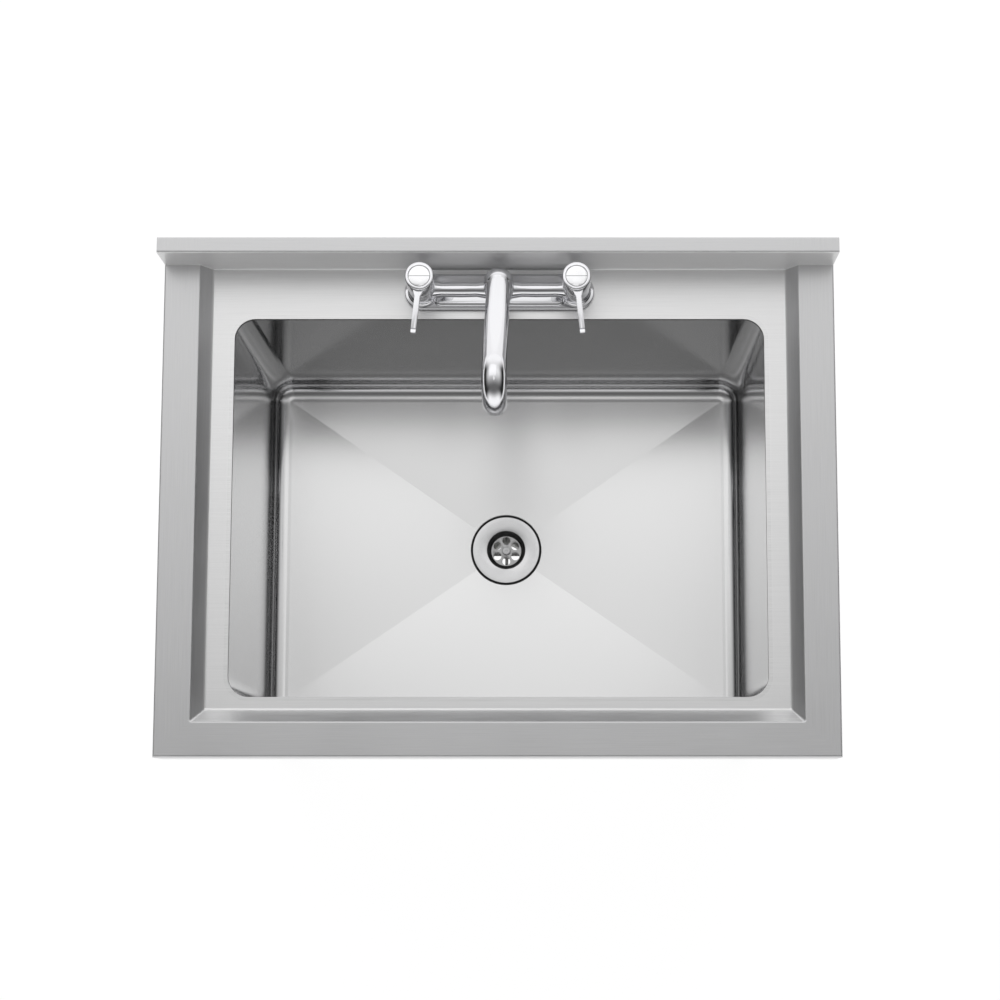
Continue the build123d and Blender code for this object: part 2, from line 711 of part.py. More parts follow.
# Valves and handles, one set at each side
for name, side in tap_sides.items():
    x = side * tap_half

    with BuildPart() as tail:
        shank_length = tail_length - tail_inlet_length
        post(x, tap_y, tail_top - tail_length, tail_radius, tail_inlet_length)
        post(x, tap_y, tail_top - shank_length, tail_shank_radius, shank_length)
        post(x, tap_y, tail_top - tail_length, tail_bore_radius, tail_length, Mode.SUBTRACT)
    save(tail, f"tail_{name}")

    with BuildPart() as cartridge:
        nose_top = bore_bottom + cartridge_nose_length
        post(x, tap_y, bore_bottom, cartridge_nose_radius, cartridge_nose_length)
        thread_radius = column_bore_radius - thread_clearance
        post(x, tap_y, nose_top, thread_radius, column_top - nose_top)
        with BuildSketch(Plane.XY.offset(column_top)):
            with Locations((x, tap_y)):
                RegularPolygon(cartridge_hex_radius, 6)
        extrude(amount=cartridge_hex_height)
        hex_top = column_top + cartridge_hex_height
        post(x, tap_y, hex_top, cartridge_neck_radius, cartridge_neck_height)
        spindle_hole = spindle_radius + spindle_clearance
        spindle_hole_depth = hex_top + cartridge_neck_height - spindle_bottom
        post(x, tap_y, spindle_bottom, spindle_hole, spindle_hole_depth, Mode.SUBTRACT)
        post(x, tap_y, bore_bottom, spindle_radius, spindle_foot / 2, Mode.SUBTRACT)
    save(cartridge, f"cartridge_{name}")

    with BuildPart() as spindle:
        post(x, tap_y, spindle_bottom, spindle_radius, spindle_top - spindle_bottom)
        screw_tip = screw_seat - handle_screw_length
        screw_hole_radius = handle_screw_radius + thread_clearance
        post(x, tap_y, screw_tip, screw_hole_radius, handle_screw_length, Mode.SUBTRACT)
    save(spindle, f"spindle_{name}")

    with BuildPart() as handle:
        post(x, tap_y, knob_bottom, knob_radius, knob_height)
        fillet(handle.faces().sort_by(Axis.Z)[-1].edges(), knob_edge_radius)
        turn = side * lever_splay
        turned = Plane(
            origin=(x, tap_y, knob_top - lever_drop - lever_height),
            x_dir=(cos(radians(turn)), sin(radians(turn)), 0),
            z_dir=(0, 0, 1),
        )
        with BuildSketch(turned):
            with BuildLine():
                Polyline(
                    (-lever_neck_width / 2, -lever_neck_start),
                    (lever_neck_width / 2, -lever_neck_start),
                    (lever_width / 2, -lever_neck_end),
                    (lever_width / 2, -lever_reach),
                    (-lever_width / 2, -lever_reach),
                    (-lever_width / 2, -lever_neck_end),
                    close=True,
                )
            make_face()
        extrude(amount=lever_height)
        lever_tip = handle.faces().sort_by(Axis.Y)[0]
        fillet(lever_tip.edges(), lever_edge_radius)
        post(x, tap_y, knob_bottom, knob_skirt_radius, knob_skirt_depth, Mode.SUBTRACT)
        post(x, tap_y, cap_seat, cap_radius + cap_clearance, cap_recess_depth, Mode.SUBTRACT)
        post(x, tap_y, screw_seat, handle_screw_well_radius, handle_screw_well_depth, Mode.SUBTRACT)
        post(x, tap_y, knob_bottom, spindle_hole, spindle_top - knob_bottom, Mode.SUBTRACT)
        post(x, tap_y, spindle_top, screw_hole_radius, handle_web, Mode.SUBTRACT)
    save(handle, f"handle_{name}")

    with BuildPart() as handle_screw:
        post(x, tap_y, screw_seat, handle_screw_head_radius, handle_screw_head_height)
        post(x, tap_y, screw_tip, handle_screw_radius, handle_screw_length)
    save(handle_screw, f"handle_screw_{name}")

    with BuildPart() as handle_cap:
        post(x, tap_y, cap_seat, cap_radius, cap_thickness)
        fillet(handle_cap.faces().sort_by(Axis.Z)[-1].edges(), knob_edge_radius)
    save(handle_cap, f"handle_cap_{name}")


# Spout: a dome over the hub, a stem inside it, and a tube that rises forward and turns down
tip_tangent = spout_tip_radius * tan(radians((90 + spout_rise_angle) / 2))
corner_z = dome_centre + spout_reach * tan(radians(spout_rise_angle))
mouth_z = corner_z - tip_tangent - spout_mouth_drop
spout_bore = spout_radius - spout_wall
rise_direction = (0, -cos(radians(spout_rise_angle)), sin(radians(spout_rise_angle)))


def spout_tube(radius, start):
    """A solid rod along the middle line of the tube, from a distance past the dome's centre."""
    root = Vector(0, tap_y, dome_centre) + Vector(rise_direction) * start
    with BuildPart() as tube:
        with BuildLine() as route:
            FilletPolyline(
                root,
                (0, mouth_y, corner_z),
                (0, mouth_y, mouth_z),
                radius=spout_tip_radius,
            )
        with BuildSketch(Plane(origin=root, z_dir=rise_direction)):
            Circle(radius)
        sweep(path=route.line)
    return tube.part


spout_outside = spout_tube(spout_radius, 0)
spout_inside = spout_tube(spout_bore, spout_bore_start)
spout_waterway = spout_tube(stem_bore_radius, 0)
with BuildPart() as spout:
    add(spout_outside)
    with Locations((0, tap_y, dome_centre)):
        Sphere(dome_radius)
    cut = 2 * dome_radius
    block((-cut, cut), (tap_y - cut, tap_y + cut), (dome_bottom - cut, dome_bottom), Mode.SUBTRACT)
    post(0, tap_y, dome_bottom, dome_radius, dome_foot_height)
    post(0, tap_y, stem_bottom, stem_radius, dome_bottom - stem_bottom)
    post(0, tap_y, stem_bottom, stem_bore_radius, dome_centre - stem_bottom, Mode.SUBTRACT)
    add(spout_waterway, mode=Mode.SUBTRACT)
    add(spout_inside, mode=Mode.SUBTRACT)
    for step in range(seal_count):
        groove_z = stem_bottom + seal_first_height + step * seal_spacing
        with BuildSketch(Plane.XY.offset(groove_z)):
            with Locations((0, tap_y)):
                Circle(hub_bore_radius)
                Circle(stem_radius - seal_groove_depth, mode=Mode.SUBTRACT)
        extrude(amount=seal_groove_width, mode=Mode.SUBTRACT)
    with BuildSketch(Plane.XY.offset(retaining_z - retaining_groove_height / 2)):
        with Locations((0, tap_y)):
            Circle(hub_bore_radius)
            Circle(stem_radius - retaining_groove_depth, mode=Mode.SUBTRACT)
    extrude(amount=retaining_groove_height, mode=Mode.SUBTRACT)
save(spout, "spout")

with BuildPart() as spout_seals:
    seal_inner = stem_radius - seal_groove_depth + seal_clearance
    seal_outer = hub_bore_radius - seal_clearance
    seal_height = seal_groove_width - 2 * seal_clearance
    for step in range(seal_count):
        seal_z = stem_bottom + seal_first_height + seal_clearance + step * seal_spacing
        with BuildSketch(Plane.XY.offset(seal_z)):
            with Locations((0, tap_y)):
                Circle(seal_outer)
                Circle(seal_inner, mode=Mode.SUBTRACT)
        extrude(amount=seal_height)
save(spout_seals, "spout_seals")

with BuildPart() as glide_ring:
    ring(0, tap_y, hub_top, glide_ring_radius, hub_bore_radius, glide_ring_thickness)
save(glide_ring, "glide_ring")

with BuildPart() as retaining_screw:
    screw_inner = stem_radius - retaining_groove_depth + retaining_screw_clearance
    screw_length = hub_radius - screw_inner
    screw_y = tap_y + screw_inner + screw_length / 2
    bar_on_y(0, screw_y, retaining_z, retaining_screw_radius, screw_length)
save(retaining_screw, "spout_retaining_screw")


# Aerator: a ring in the mouth of the spout, its screen and a washer
with BuildPart() as aerator_housing:
    ring_bottom = mouth_z - aerator_ring_height
    post(0, mouth_y, ring_bottom, aerator_ring_radius, aerator_ring_height)
    post(0, mouth_y, mouth_z, spout_bore - thread_clearance, aerator_thread_length)
    housing_height = aerator_ring_height + aerator_thread_length
    post(0, mouth_y, ring_bottom, aerator_bore_radius, housing_height, Mode.SUBTRACT)
save(aerator_housing, "aerator_housing")

with BuildPart() as aerator_insert:
    insert_z = mouth_z + aerator_thread_length - aerator_insert_height
    post(0, mouth_y, insert_z, aerator_bore_radius - thread_clearance, aerator_insert_height)
    with BuildSketch(Plane.XY.offset(insert_z)):
        with Locations((0, mouth_y)):
            for count, radius in zip(aerator_hole_counts, aerator_hole_rings):
                with PolarLocations(radius, count):
                    Circle(aerator_hole_radius)
    extrude(amount=aerator_insert_height, mode=Mode.SUBTRACT)
save(aerator_insert, "aerator_insert")

with BuildPart() as aerator_washer:
    washer_bottom = mouth_z + aerator_thread_length
    washer_outer = spout_bore - thread_clearance
    washer_inner = aerator_bore_radius - aerator_hole_radius
    ring(0, mouth_y, washer_bottom, washer_outer, washer_inner, aerator_washer_thickness)
save(aerator_washer, "aerator_washer")
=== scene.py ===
import json
import math

import bmesh
import bpy
from bpy.props import (
    FloatProperty,
    FloatVectorProperty,
    IntProperty,
    PointerProperty,
)
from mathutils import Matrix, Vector


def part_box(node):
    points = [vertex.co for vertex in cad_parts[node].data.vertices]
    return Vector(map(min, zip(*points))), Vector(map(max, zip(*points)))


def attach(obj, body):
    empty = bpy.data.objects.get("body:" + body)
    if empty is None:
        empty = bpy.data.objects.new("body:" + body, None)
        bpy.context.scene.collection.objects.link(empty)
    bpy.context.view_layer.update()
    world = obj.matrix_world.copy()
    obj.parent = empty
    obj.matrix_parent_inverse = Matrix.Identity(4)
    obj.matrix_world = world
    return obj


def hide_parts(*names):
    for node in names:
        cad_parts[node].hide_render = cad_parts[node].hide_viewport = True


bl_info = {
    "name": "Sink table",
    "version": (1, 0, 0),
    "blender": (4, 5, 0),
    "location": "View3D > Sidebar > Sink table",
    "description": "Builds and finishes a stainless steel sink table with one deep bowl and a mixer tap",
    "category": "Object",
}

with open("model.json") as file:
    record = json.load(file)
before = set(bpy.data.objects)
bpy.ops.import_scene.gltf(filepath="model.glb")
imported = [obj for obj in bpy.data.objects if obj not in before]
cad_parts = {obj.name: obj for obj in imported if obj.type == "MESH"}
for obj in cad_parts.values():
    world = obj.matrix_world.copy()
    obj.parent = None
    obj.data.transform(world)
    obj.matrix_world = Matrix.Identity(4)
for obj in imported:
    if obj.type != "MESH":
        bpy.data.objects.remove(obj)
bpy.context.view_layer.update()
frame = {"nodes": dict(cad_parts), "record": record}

MM = 0.001
CORNERS = {"front_left": (-1, -1), "front_right": (1, -1), "rear_left": (-1, 1), "rear_right": (1, 1)}
SIDES = {"left": -1, "right": 1}


def box(node):
    """A node's lowest and highest corners at rest."""
    low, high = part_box(node)
    return Vector(low), Vector(high)


def middle(node):
    low, high = box(node)
    return (low + high) / 2


TOP_LOW, TOP_HIGH = box("worktop")
BOWL_LOW, BOWL_HIGH = box("bowl")
TAP_LOW, TAP_HIGH = box("tap_body")
KNOB_LOW, KNOB_HIGH = box("handle_right")
DRAIN = middle("waste_flange")
TAP_Y = middle("glide_ring").y
TAP_HALF = middle("cartridge_right").x
MOUTH = middle("aerator_housing")
RIM_WIDTH = 42 * MM
DECK_EDGE = 57 * MM
SPLASH_Y = TOP_HIGH.y - 19 * MM
BOWL_FLOOR = BOWL_HIGH.z - 300 * MM


# Shaping helpers: each starts from a primitive and shapes it with edit-mode operators


def clear_selection():
    if bpy.context.mode != "OBJECT":
        bpy.ops.object.mode_set(mode="OBJECT")
    bpy.ops.object.select_all(action="DESELECT")


def make_active(piece):
    clear_selection()
    piece.select_set(True)
    bpy.context.view_layer.objects.active = piece


def begin(name):
    """Names the new primitive, puts its place into its mesh and opens it for shaping."""
    piece = bpy.context.active_object
    piece.name = name
    piece.data.name = name
    bpy.ops.object.transform_apply(location=True, rotation=True, scale=True)
    bpy.ops.object.mode_set(mode="EDIT")
    bpy.ops.mesh.select_mode(type="VERT")
    bpy.ops.mesh.select_all(action="SELECT")
    return piece


def pick(kind, test):
    """Selects the vertices, edges or faces in edit mode whose points all pass the test."""
    bpy.ops.mesh.select_mode(type=kind)
    bpy.ops.mesh.select_all(action="DESELECT")
    mesh = bpy.context.edit_object.data
    shape = bmesh.from_edit_mesh(mesh)
    for item in {"VERT": shape.verts, "EDGE": shape.edges, "FACE": shape.faces}[kind]:
        points = [item.co] if kind == "VERT" else [vertex.co for vertex in item.verts]
        if all(test(point) for point in points):
            item.select_set(True)
    bmesh.update_edit_mesh(mesh)


def pull(offset):
    bpy.ops.mesh.extrude_region_move(TRANSFORM_OT_translate={"value": offset})


def turned(name, rings, spot=(0, 0), steps=48, spread=(0, 0), closed=False):
    """A turned piece from rings of radius and height in mm. A spread parts its halves into a slot."""
    clear_selection()
    x, y = spot
    radius, height = rings[0]
    bpy.ops.mesh.primitive_circle_add(
        vertices=steps,
        radius=radius * MM,
        fill_type="NOTHING" if closed else "NGON",
        location=(x, y, height * MM),
        rotation=(0, 0, math.pi / steps),
    )
    piece = begin(name)
    for next_radius, next_height in rings[1:]:
        pull((0, 0, (next_height - height) * MM))
        scale = next_radius / radius
        bpy.ops.transform.resize(value=(scale, scale, 1), center_override=(x, y, next_height * MM))
        radius, height = next_radius, next_height
    if closed:
        bpy.ops.mesh.select_all(action="SELECT")
        bpy.ops.mesh.remove_doubles(threshold=0.00002)
    for axis, gap in enumerate(spread):
        if gap:
            centre = spot[axis]
            for sign in (-1, 1):
                pick("VERT", lambda point: sign * (point[axis] - centre) > 0)
                shift = [0, 0, 0]
                shift[axis] = sign * gap
                bpy.ops.transform.translate(value=shift)
    return piece


def bar(name, low, high):
    """A box between two corners, open for shaping."""
    clear_selection()
    low, high = Vector(low), Vector(high)
    bpy.ops.mesh.primitive_cube_add(size=1, location=(low + high) / 2, scale=high - low)
    return begin(name)


def modify(piece, kind, **values):
    make_active(piece)
    bpy.ops.object.modifier_add(type=kind)
    modifier = piece.modifiers[-1]
    for key, value in values.items():
        setattr(modifier, key, value)
    bpy.ops.object.modifier_apply(modifier=modifier.name)


def soften(piece, width, segments=2, angle=35):
    modify(
        piece,
        "BEVEL",
        width=width * MM,
        segments=segments,
        limit_method="ANGLE",
        angle_limit=math.radians(angle),
    )


def cut(piece, cutter, operation="DIFFERENCE"):
    modify(piece, "BOOLEAN", object=cutter, operation=operation, solver="EXACT")
    bpy.data.objects.remove(cutter)


def join(piece, others):
    make_active(piece)
    for other in others:
        other.select_set(True)
    bpy.ops.object.join()


def copied(piece, name, place=(0, 0, 0), turn=(0, 0, 0)):
    """A copy with its own mesh, turned about the origin and then moved."""
    make_active(piece)
    bpy.ops.object.duplicate()
    made = bpy.context.active_object
    made.name = name
    made.data.name = name
    settle(made, place, turn)
    return made


def settle(piece, place=(0, 0, 0), turn=(0, 0, 0)):
    make_active(piece)
    piece.rotation_euler = turn
    piece.location = place
    bpy.ops.object.transform_apply(location=True, rotation=True, scale=True)


def complete(piece, body, material, stands_for=(), smooth=35):
    """Closes the shape, turns its faces outwards, smooths it, and gives it its finish and body."""
    make_active(piece)
    bpy.ops.object.mode_set(mode="EDIT")
    bpy.ops.mesh.select_all(action="SELECT")
    bpy.ops.mesh.remove_doubles(threshold=0.000002)
    bpy.ops.mesh.normals_make_consistent(inside=False)
    bpy.ops.object.mode_set(mode="OBJECT")
    bpy.ops.object.shade_smooth_by_angle(angle=math.radians(smooth))
    piece.data.materials.clear()
    piece.data.materials.append(bpy.data.materials[material])
    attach(piece, body)
    if stands_for:
        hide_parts(*stands_for)


def ridges(radius, low, high, pitch=1.6, depth=0.5):
    """The crests and roots of a thread, as rings from one height to another."""
    count = int(abs(high - low) / pitch)
    step = (high - low) / count
    rings = []
    for turn in range(count):
        rings.append((radius - depth, low + step * (turn + 0.15)))
        rings.append((radius, low + step * (turn + 0.6)))
    return rings


# Finishes: shared effects are node groups, and each material keeps its own shader


def group(name, inputs, outputs):
    made = bpy.data.node_groups.new(name, "ShaderNodeTree")
    for label, kind, value in inputs:
        socket = made.interface.new_socket(name=label, in_out="INPUT", socket_type=kind)
        socket.default_value = value
    for label, kind in outputs:
        made.interface.new_socket(name=label, in_out="OUTPUT", socket_type=kind)
    return made, made.nodes.new("NodeGroupInput"), made.nodes.new("NodeGroupOutput")


def math_node(tree, operation, first, second=0.0, third=0.0):
    """A Math node. Each value is a number or an output to link."""
    made = tree.nodes.new("ShaderNodeMath")
    made.operation = operation
    for socket, value in zip(made.inputs, (first, second, third)):
        if isinstance(value, bpy.types.NodeSocket):
            tree.links.new(value, socket)
        else:
            socket.default_value = value
    return made.outputs[0]


def spread_node(tree, value, low, high, start=0.0, end=1.0, smooth=False):
    """A Map Range node that spreads a value over a new range."""
    made = tree.nodes.new("ShaderNodeMapRange")
    if smooth:
        made.interpolation_type = "SMOOTHSTEP"
    tree.links.new(value, made.inputs["Value"])
    made.inputs["From Min"].default_value = start
    made.inputs["From Max"].default_value = end
    made.inputs["To Min"].default_value = low
    made.inputs["To Max"].default_value = high
    return made.outputs[0]


def noise_node(tree, vector, scale, detail=3.0, roughness=0.55):
    made = tree.nodes.new("ShaderNodeTexNoise")
    made.inputs["Scale"].default_value = scale
    made.inputs["Detail"].default_value = detail
    made.inputs["Roughness"].default_value = roughness
    tree.links.new(vector, made.inputs["Vector"])
    return made.outputs["Fac"]


def tint_node(tree, factor, first, second):
    """Mixes two colours by a factor."""
    made = tree.nodes.new("ShaderNodeMix")
    made.data_type = "RGBA"
    tree.links.new(factor, made.inputs[0])
    for socket, colour in ((made.inputs[6], first), (made.inputs[7], second)):
        if isinstance(colour, bpy.types.NodeSocket):
            tree.links.new(colour, socket)
        else:
            socket.default_value = (*colour, 1)
    return made.outputs[2]


def build_grain_group():
    """Fine brushing lines that run along one direction, and slow clouds of wiped and handled metal."""
    tree, start, end = group(
        "brushed_grain",
        [
            ("Coordinates", "NodeSocketVector", (0, 0, 0)),
            ("Stretch", "NodeSocketVector", (14, 1300, 1300)),
        ],
        [("Streaks", "NodeSocketFloat"), ("Clouds", "NodeSocketFloat")],
    )
    scaled = tree.nodes.new("ShaderNodeVectorMath")
    scaled.operation = "MULTIPLY"
    tree.links.new(start.outputs["Coordinates"], scaled.inputs[0])
    tree.links.new(start.outputs["Stretch"], scaled.inputs[1])
    tree.links.new(noise_node(tree, scaled.outputs[0], 1.0, 4.0, 0.65), end.inputs["Streaks"])
    tree.links.new(noise_node(tree, start.outputs["Coordinates"], 7.0, 3.0, 0.5), end.inputs["Clouds"])


def build_region_group():
    """Masks for the worktop: side strips, deck, ground-back welds at the front corners, and the splash face, where
    light is painted.
    """
    tree, start, end = group(
        "worktop_regions",
        [("Coordinates", "NodeSocketVector", (0, 0, 0))],
        [(label, "NodeSocketFloat") for label in ("Side", "Deck", "Weld", "Splash")],
    )
    parts = tree.nodes.new("ShaderNodeSeparateXYZ")
    tree.links.new(start.outputs["Coordinates"], parts.inputs[0])
    x_in = math_node(tree, "SUBTRACT", TOP_HIGH.x, math_node(tree, "ABSOLUTE", parts.outputs["X"]))
    y_in = math_node(tree, "SUBTRACT", parts.outputs["Y"], TOP_LOW.y)
    past_mitre = math_node(tree, "LESS_THAN", x_in, y_in)
    on_strip = math_node(tree, "LESS_THAN", x_in, DECK_EDGE)
    side = math_node(tree, "MULTIPLY", past_mitre, on_strip)
    tree.links.new(side, end.inputs["Side"])

    deck = spread_node(tree, parts.outputs["Z"], 1, 0, BOWL_HIGH.z + 0.5 * MM, BOWL_HIGH.z + 3 * MM)
    tree.links.new(deck, end.inputs["Deck"])

    wobble = spread_node(tree, noise_node(tree, start.outputs["Coordinates"], 45.0), -8 * MM, 8 * MM)
    across = spread_node(tree, math_node(tree, "ADD", x_in, wobble), 1, 0, 72 * MM, 92 * MM, smooth=True)
    along = spread_node(tree, math_node(tree, "ADD", y_in, wobble), 1, 0, 66 * MM, 80 * MM, smooth=True)
    inside = math_node(tree, "GREATER_THAN", y_in, RIM_WIDTH)
    weld = math_node(tree, "MULTIPLY", math_node(tree, "MULTIPLY", across, along), inside)
    tree.links.new(math_node(tree, "MULTIPLY", weld, math_node(tree, "SUBTRACT", 1, side)), end.inputs["Weld"])

    # The upstand's front face, where light is painted
    face = math_node(tree, "SUBTRACT", parts.outputs["Y"], SPLASH_Y)
    near = math_node(tree, "LESS_THAN", math_node(tree, "ABSOLUTE", face), 1 * MM)
    lifted = spread_node(tree, parts.outputs["Z"], 0, 1, BOWL_HIGH.z, BOWL_HIGH.z + 4 * MM)
    tree.links.new(math_node(tree, "MULTIPLY", near, lifted), end.inputs["Splash"])


def seen_node(tree):
    """One for rays from the camera and for rays that metal or glass sends on, and otherwise zero."""
    rays = tree.nodes.new("ShaderNodeLightPath")
    seen = math_node(tree, "MAXIMUM", rays.outputs["Is Camera Ray"], rays.outputs["Is Glossy Ray"])
    return math_node(tree, "MAXIMUM", seen, rays.outputs["Is Transmission Ray"])


def start_material(name):
    material = bpy.data.materials.new(name)
    material.use_nodes = True
    tree = material.node_tree
    shader = tree.nodes["Principled BSDF"]
    place = tree.nodes.new("ShaderNodeTexCoord").outputs["Object"]
    return tree, shader, place


def grain_node(tree, place, stretch):
    made = tree.nodes.new("ShaderNodeGroup")
    made.node_tree = bpy.data.node_groups["brushed_grain"]
    made.inputs["Stretch"].default_value = stretch
    tree.links.new(place, made.inputs["Coordinates"])
    return made.outputs["Streaks"], made.outputs["Clouds"]


def add_bump(tree, shader, height, strength, distance):
    bump = tree.nodes.new("ShaderNodeBump")
    bump.inputs["Strength"].default_value = strength
    bump.inputs["Distance"].default_value = distance * MM
    tree.links.new(height, bump.inputs["Height"])
    tree.links.new(bump.outputs[0], shader.inputs["Normal"])


def shade_steel(tree, shader, streaks, clouds, colour, roughness, contrast=1.0):
    """Brushed metal: the grain and the clouds vary its colour, roughness and height."""
    shader.inputs["Metallic"].default_value = 1
    dark = [channel * (1 - 0.1 * contrast) for channel in colour]
    light = [min(channel * (1 + 0.06 * contrast), 1) for channel in colour]
    blend = math_node(tree, "ADD", math_node(tree, "MULTIPLY", streaks, 0.6), math_node(tree, "MULTIPLY", clouds, 0.4))
    tint = tint_node(tree, spread_node(tree, blend, 0, 1, 0.3, 0.7), dark, light)
    rough = spread_node(tree, blend, roughness * 0.85, roughness * 1.15, 0.3, 0.7)
    tree.links.new(tint, shader.inputs["Base Color"])
    tree.links.new(rough, shader.inputs["Roughness"])
    add_bump(tree, shader, streaks, 0.12 * contrast, 0.05)


def steel(name, stretch):
    settings = bpy.context.scene.sink_finish
    tree, shader, place = start_material(name)
    streaks, clouds = grain_node(tree, place, stretch)
    shade_steel(tree, shader, streaks, clouds, settings.steel_colour, settings.steel_roughness)


def blend_over(tree, shader, mask, colour, roughness):
    """Lays another colour and roughness over a finish where the mask is one."""
    under = shader.inputs["Base Color"].links[0].from_socket
    tree.links.new(tint_node(tree, mask, under, tuple(colour)), shader.inputs["Base Color"])
    under = shader.inputs["Roughness"].links[0].from_socket
    kept = math_node(tree, "MULTIPLY", under, math_node(tree, "SUBTRACT", 1, mask))
    tree.links.new(math_node(tree, "MULTIPLY_ADD", mask, roughness, kept), shader.inputs["Roughness"])


def worktop_steel():
    settings = bpy.context.scene.sink_finish
    tree, shader, place = start_material("worktop_steel")
    regions = tree.nodes.new("ShaderNodeGroup")
    regions.node_tree = bpy.data.node_groups["worktop_regions"]
    tree.links.new(place, regions.inputs["Coordinates"])
    across, clouds = grain_node(tree, place, (14, 1300, 1300))
    along = grain_node(tree, place, (1300, 14, 1300))[0]
    side = regions.outputs["Side"]
    kept = math_node(tree, "MULTIPLY", across, math_node(tree, "SUBTRACT", 1, side))
    streaks = math_node(tree, "MULTIPLY_ADD", along, side, kept)
    shade_steel(tree, shader, streaks, clouds, settings.steel_colour, settings.steel_roughness)
    splash = regions.outputs["Splash"]
    metal = math_node(tree, "MULTIPLY_ADD", splash, settings.splash_metal - settings.worktop_metal, settings.worktop_metal)
    tree.links.new(metal, shader.inputs["Metallic"])
    satin = math_node(tree, "MULTIPLY", regions.outputs["Deck"], spread_node(tree, across, 0.8, 1, 0.3, 0.7))
    blend_over(tree, shader, satin, settings.deck_colour, settings.steel_roughness)
    patch = math_node(tree, "MULTIPLY", regions.outputs["Weld"], spread_node(tree, across, 0.3, 0.8, 0.3, 0.7))
    blend_over(tree, shader, patch, settings.weld_colour, settings.steel_roughness * 0.9)
    # Painted light: a lighter colour over the upstand's front face, varied by the grain
    brushed = math_node(tree, "MULTIPLY", splash, spread_node(tree, across, 0.85, 1, 0.3, 0.7))
    blend_over(tree, shader, brushed, settings.splash_painted_light, 0.35)


def bowl_steel():
    """Glossy walls and foot, a softer floor whose lighter colour is painted light, painted shade in a dark band along
    the top of the walls under the lip, and a lip finished as the deck is.
    """
    settings = bpy.context.scene.sink_finish
    tree, shader, place = start_material("bowl_steel")
    streaks, clouds = grain_node(tree, place, (14, 1300, 1300))
    shade_steel(tree, shader, streaks, clouds, settings.bowl_colour, settings.bowl_roughness, 0.5)
    parts = tree.nodes.new("ShaderNodeSeparateXYZ")
    tree.links.new(place, parts.inputs[0])
    # The floor's finish is rougher, and its lighter colour is painted light that makes up for the light the walls keep
    # from it
    floor = spread_node(tree, parts.outputs["Z"], 1, 0, BOWL_FLOOR, BOWL_FLOOR + 2 * MM)
    fine = math_node(tree, "MULTIPLY", floor, spread_node(tree, streaks, 0.9, 1, 0.3, 0.7))
    blend_over(tree, shader, fine, settings.floor_colour, settings.floor_roughness)
    lip = math_node(tree, "GREATER_THAN", parts.outputs["Z"], BOWL_HIGH.z - 0.5 * MM)
    # Painted shade: a dark band along the top 4.5 mm of the walls, under the lip
    rim_painted_shade = math_node(tree, "GREATER_THAN", parts.outputs["Z"], BOWL_HIGH.z - 4.5 * MM)
    blend_over(tree, shader, math_node(tree, "MULTIPLY", rim_painted_shade, 0.8), (0.1, 0.1, 0.1), 0.5)
    satin = math_node(tree, "MULTIPLY", lip, spread_node(tree, streaks, 0.8, 1, 0.3, 0.7))
    blend_over(tree, shader, satin, settings.deck_colour, settings.steel_roughness)


def turned_steel():
    """Steel with fine rings from turning, centred on the waste, with painted shade: a black outer edge, a dark well
    and a grey plate at the bottom of the well.
    """
    settings = bpy.context.scene.sink_finish
    tree, shader, place = start_material("turned_steel")
    centred = tree.nodes.new("ShaderNodeMapping")
    centred.inputs["Location"].default_value = (-DRAIN.x, -DRAIN.y, 0)
    tree.links.new(place, centred.inputs["Vector"])
    flat = tree.nodes.new("ShaderNodeVectorMath")
    flat.operation = "MULTIPLY"
    flat.inputs[1].default_value = (1, 1, 0)
    tree.links.new(centred.outputs[0], flat.inputs[0])
    length = tree.nodes.new("ShaderNodeVectorMath")
    length.operation = "LENGTH"
    tree.links.new(flat.outputs[0], length.inputs[0])
    rings = tree.nodes.new("ShaderNodeCombineXYZ")
    tree.links.new(math_node(tree, "MULTIPLY", length.outputs["Value"], 1500), rings.inputs[0])
    streaks = noise_node(tree, rings.outputs[0], 1.0)
    clouds = noise_node(tree, place, 40.0)
    shade_steel(tree, shader, streaks, clouds, settings.bowl_colour, settings.steel_roughness * 0.6)
    distance = length.outputs["Value"]
    # Painted shade: the flange's outer edge is black
    edge_painted_shade = spread_node(tree, distance, 0, 1, 45.2 * MM, 45.8 * MM)
    blend_over(tree, shader, edge_painted_shade, (0.03, 0.03, 0.03), 0.6)
    # Painted shade: the sloping wall of the well is dark
    well_painted_shade = spread_node(tree, distance, 1, 0, 26.2 * MM, 26.9 * MM)
    blend_over(tree, shader, well_painted_shade, (0.12, 0.12, 0.12), 0.4)
    # Painted shade: the plate at the bottom of the well is grey
    plate = spread_node(tree, distance, 1, 0, 20.4 * MM, 21 * MM)
    blend_over(tree, shader, plate, (0.45, 0.45, 0.45), 0.35)


def chrome(name, line=False):
    settings = bpy.context.scene.sink_finish
    tree, shader, place = start_material(name)
    shader.inputs["Metallic"].default_value = 1
    haze = noise_node(tree, place, 35.0, 4.0)
    spots = noise_node(tree, place, 420.0, 1.0)
    marks = spread_node(tree, spots, 0, 1, 0.68, 0.8)
    rough = spread_node(tree, haze, 0.03, 0.08, 0.35, 0.7)
    tree.links.new(math_node(tree, "MULTIPLY_ADD", marks, 0.08, rough), shader.inputs["Roughness"])
    light = tuple(settings.chrome_colour)
    dull = [channel * 0.93 for channel in light]
    tint = tint_node(tree, spread_node(tree, haze, 0, 1, 0.4, 0.75), light, dull)
    # Painted shade: a dark line across the cap's top, for a slot that isn't cut
    if line:
        parts = tree.nodes.new("ShaderNodeSeparateXYZ")
        tree.links.new(place, parts.inputs[0])
        off = math_node(tree, "ABSOLUTE", math_node(tree, "SUBTRACT", parts.outputs["Y"], TAP_Y))
        slot = math_node(tree, "LESS_THAN", off, 0.35 * MM)
        tint = tint_node(tree, slot, tint, (0.25, 0.25, 0.26))
    tree.links.new(tint, shader.inputs["Base Color"])
    add_bump(tree, shader, haze, 0.04, 0.4)


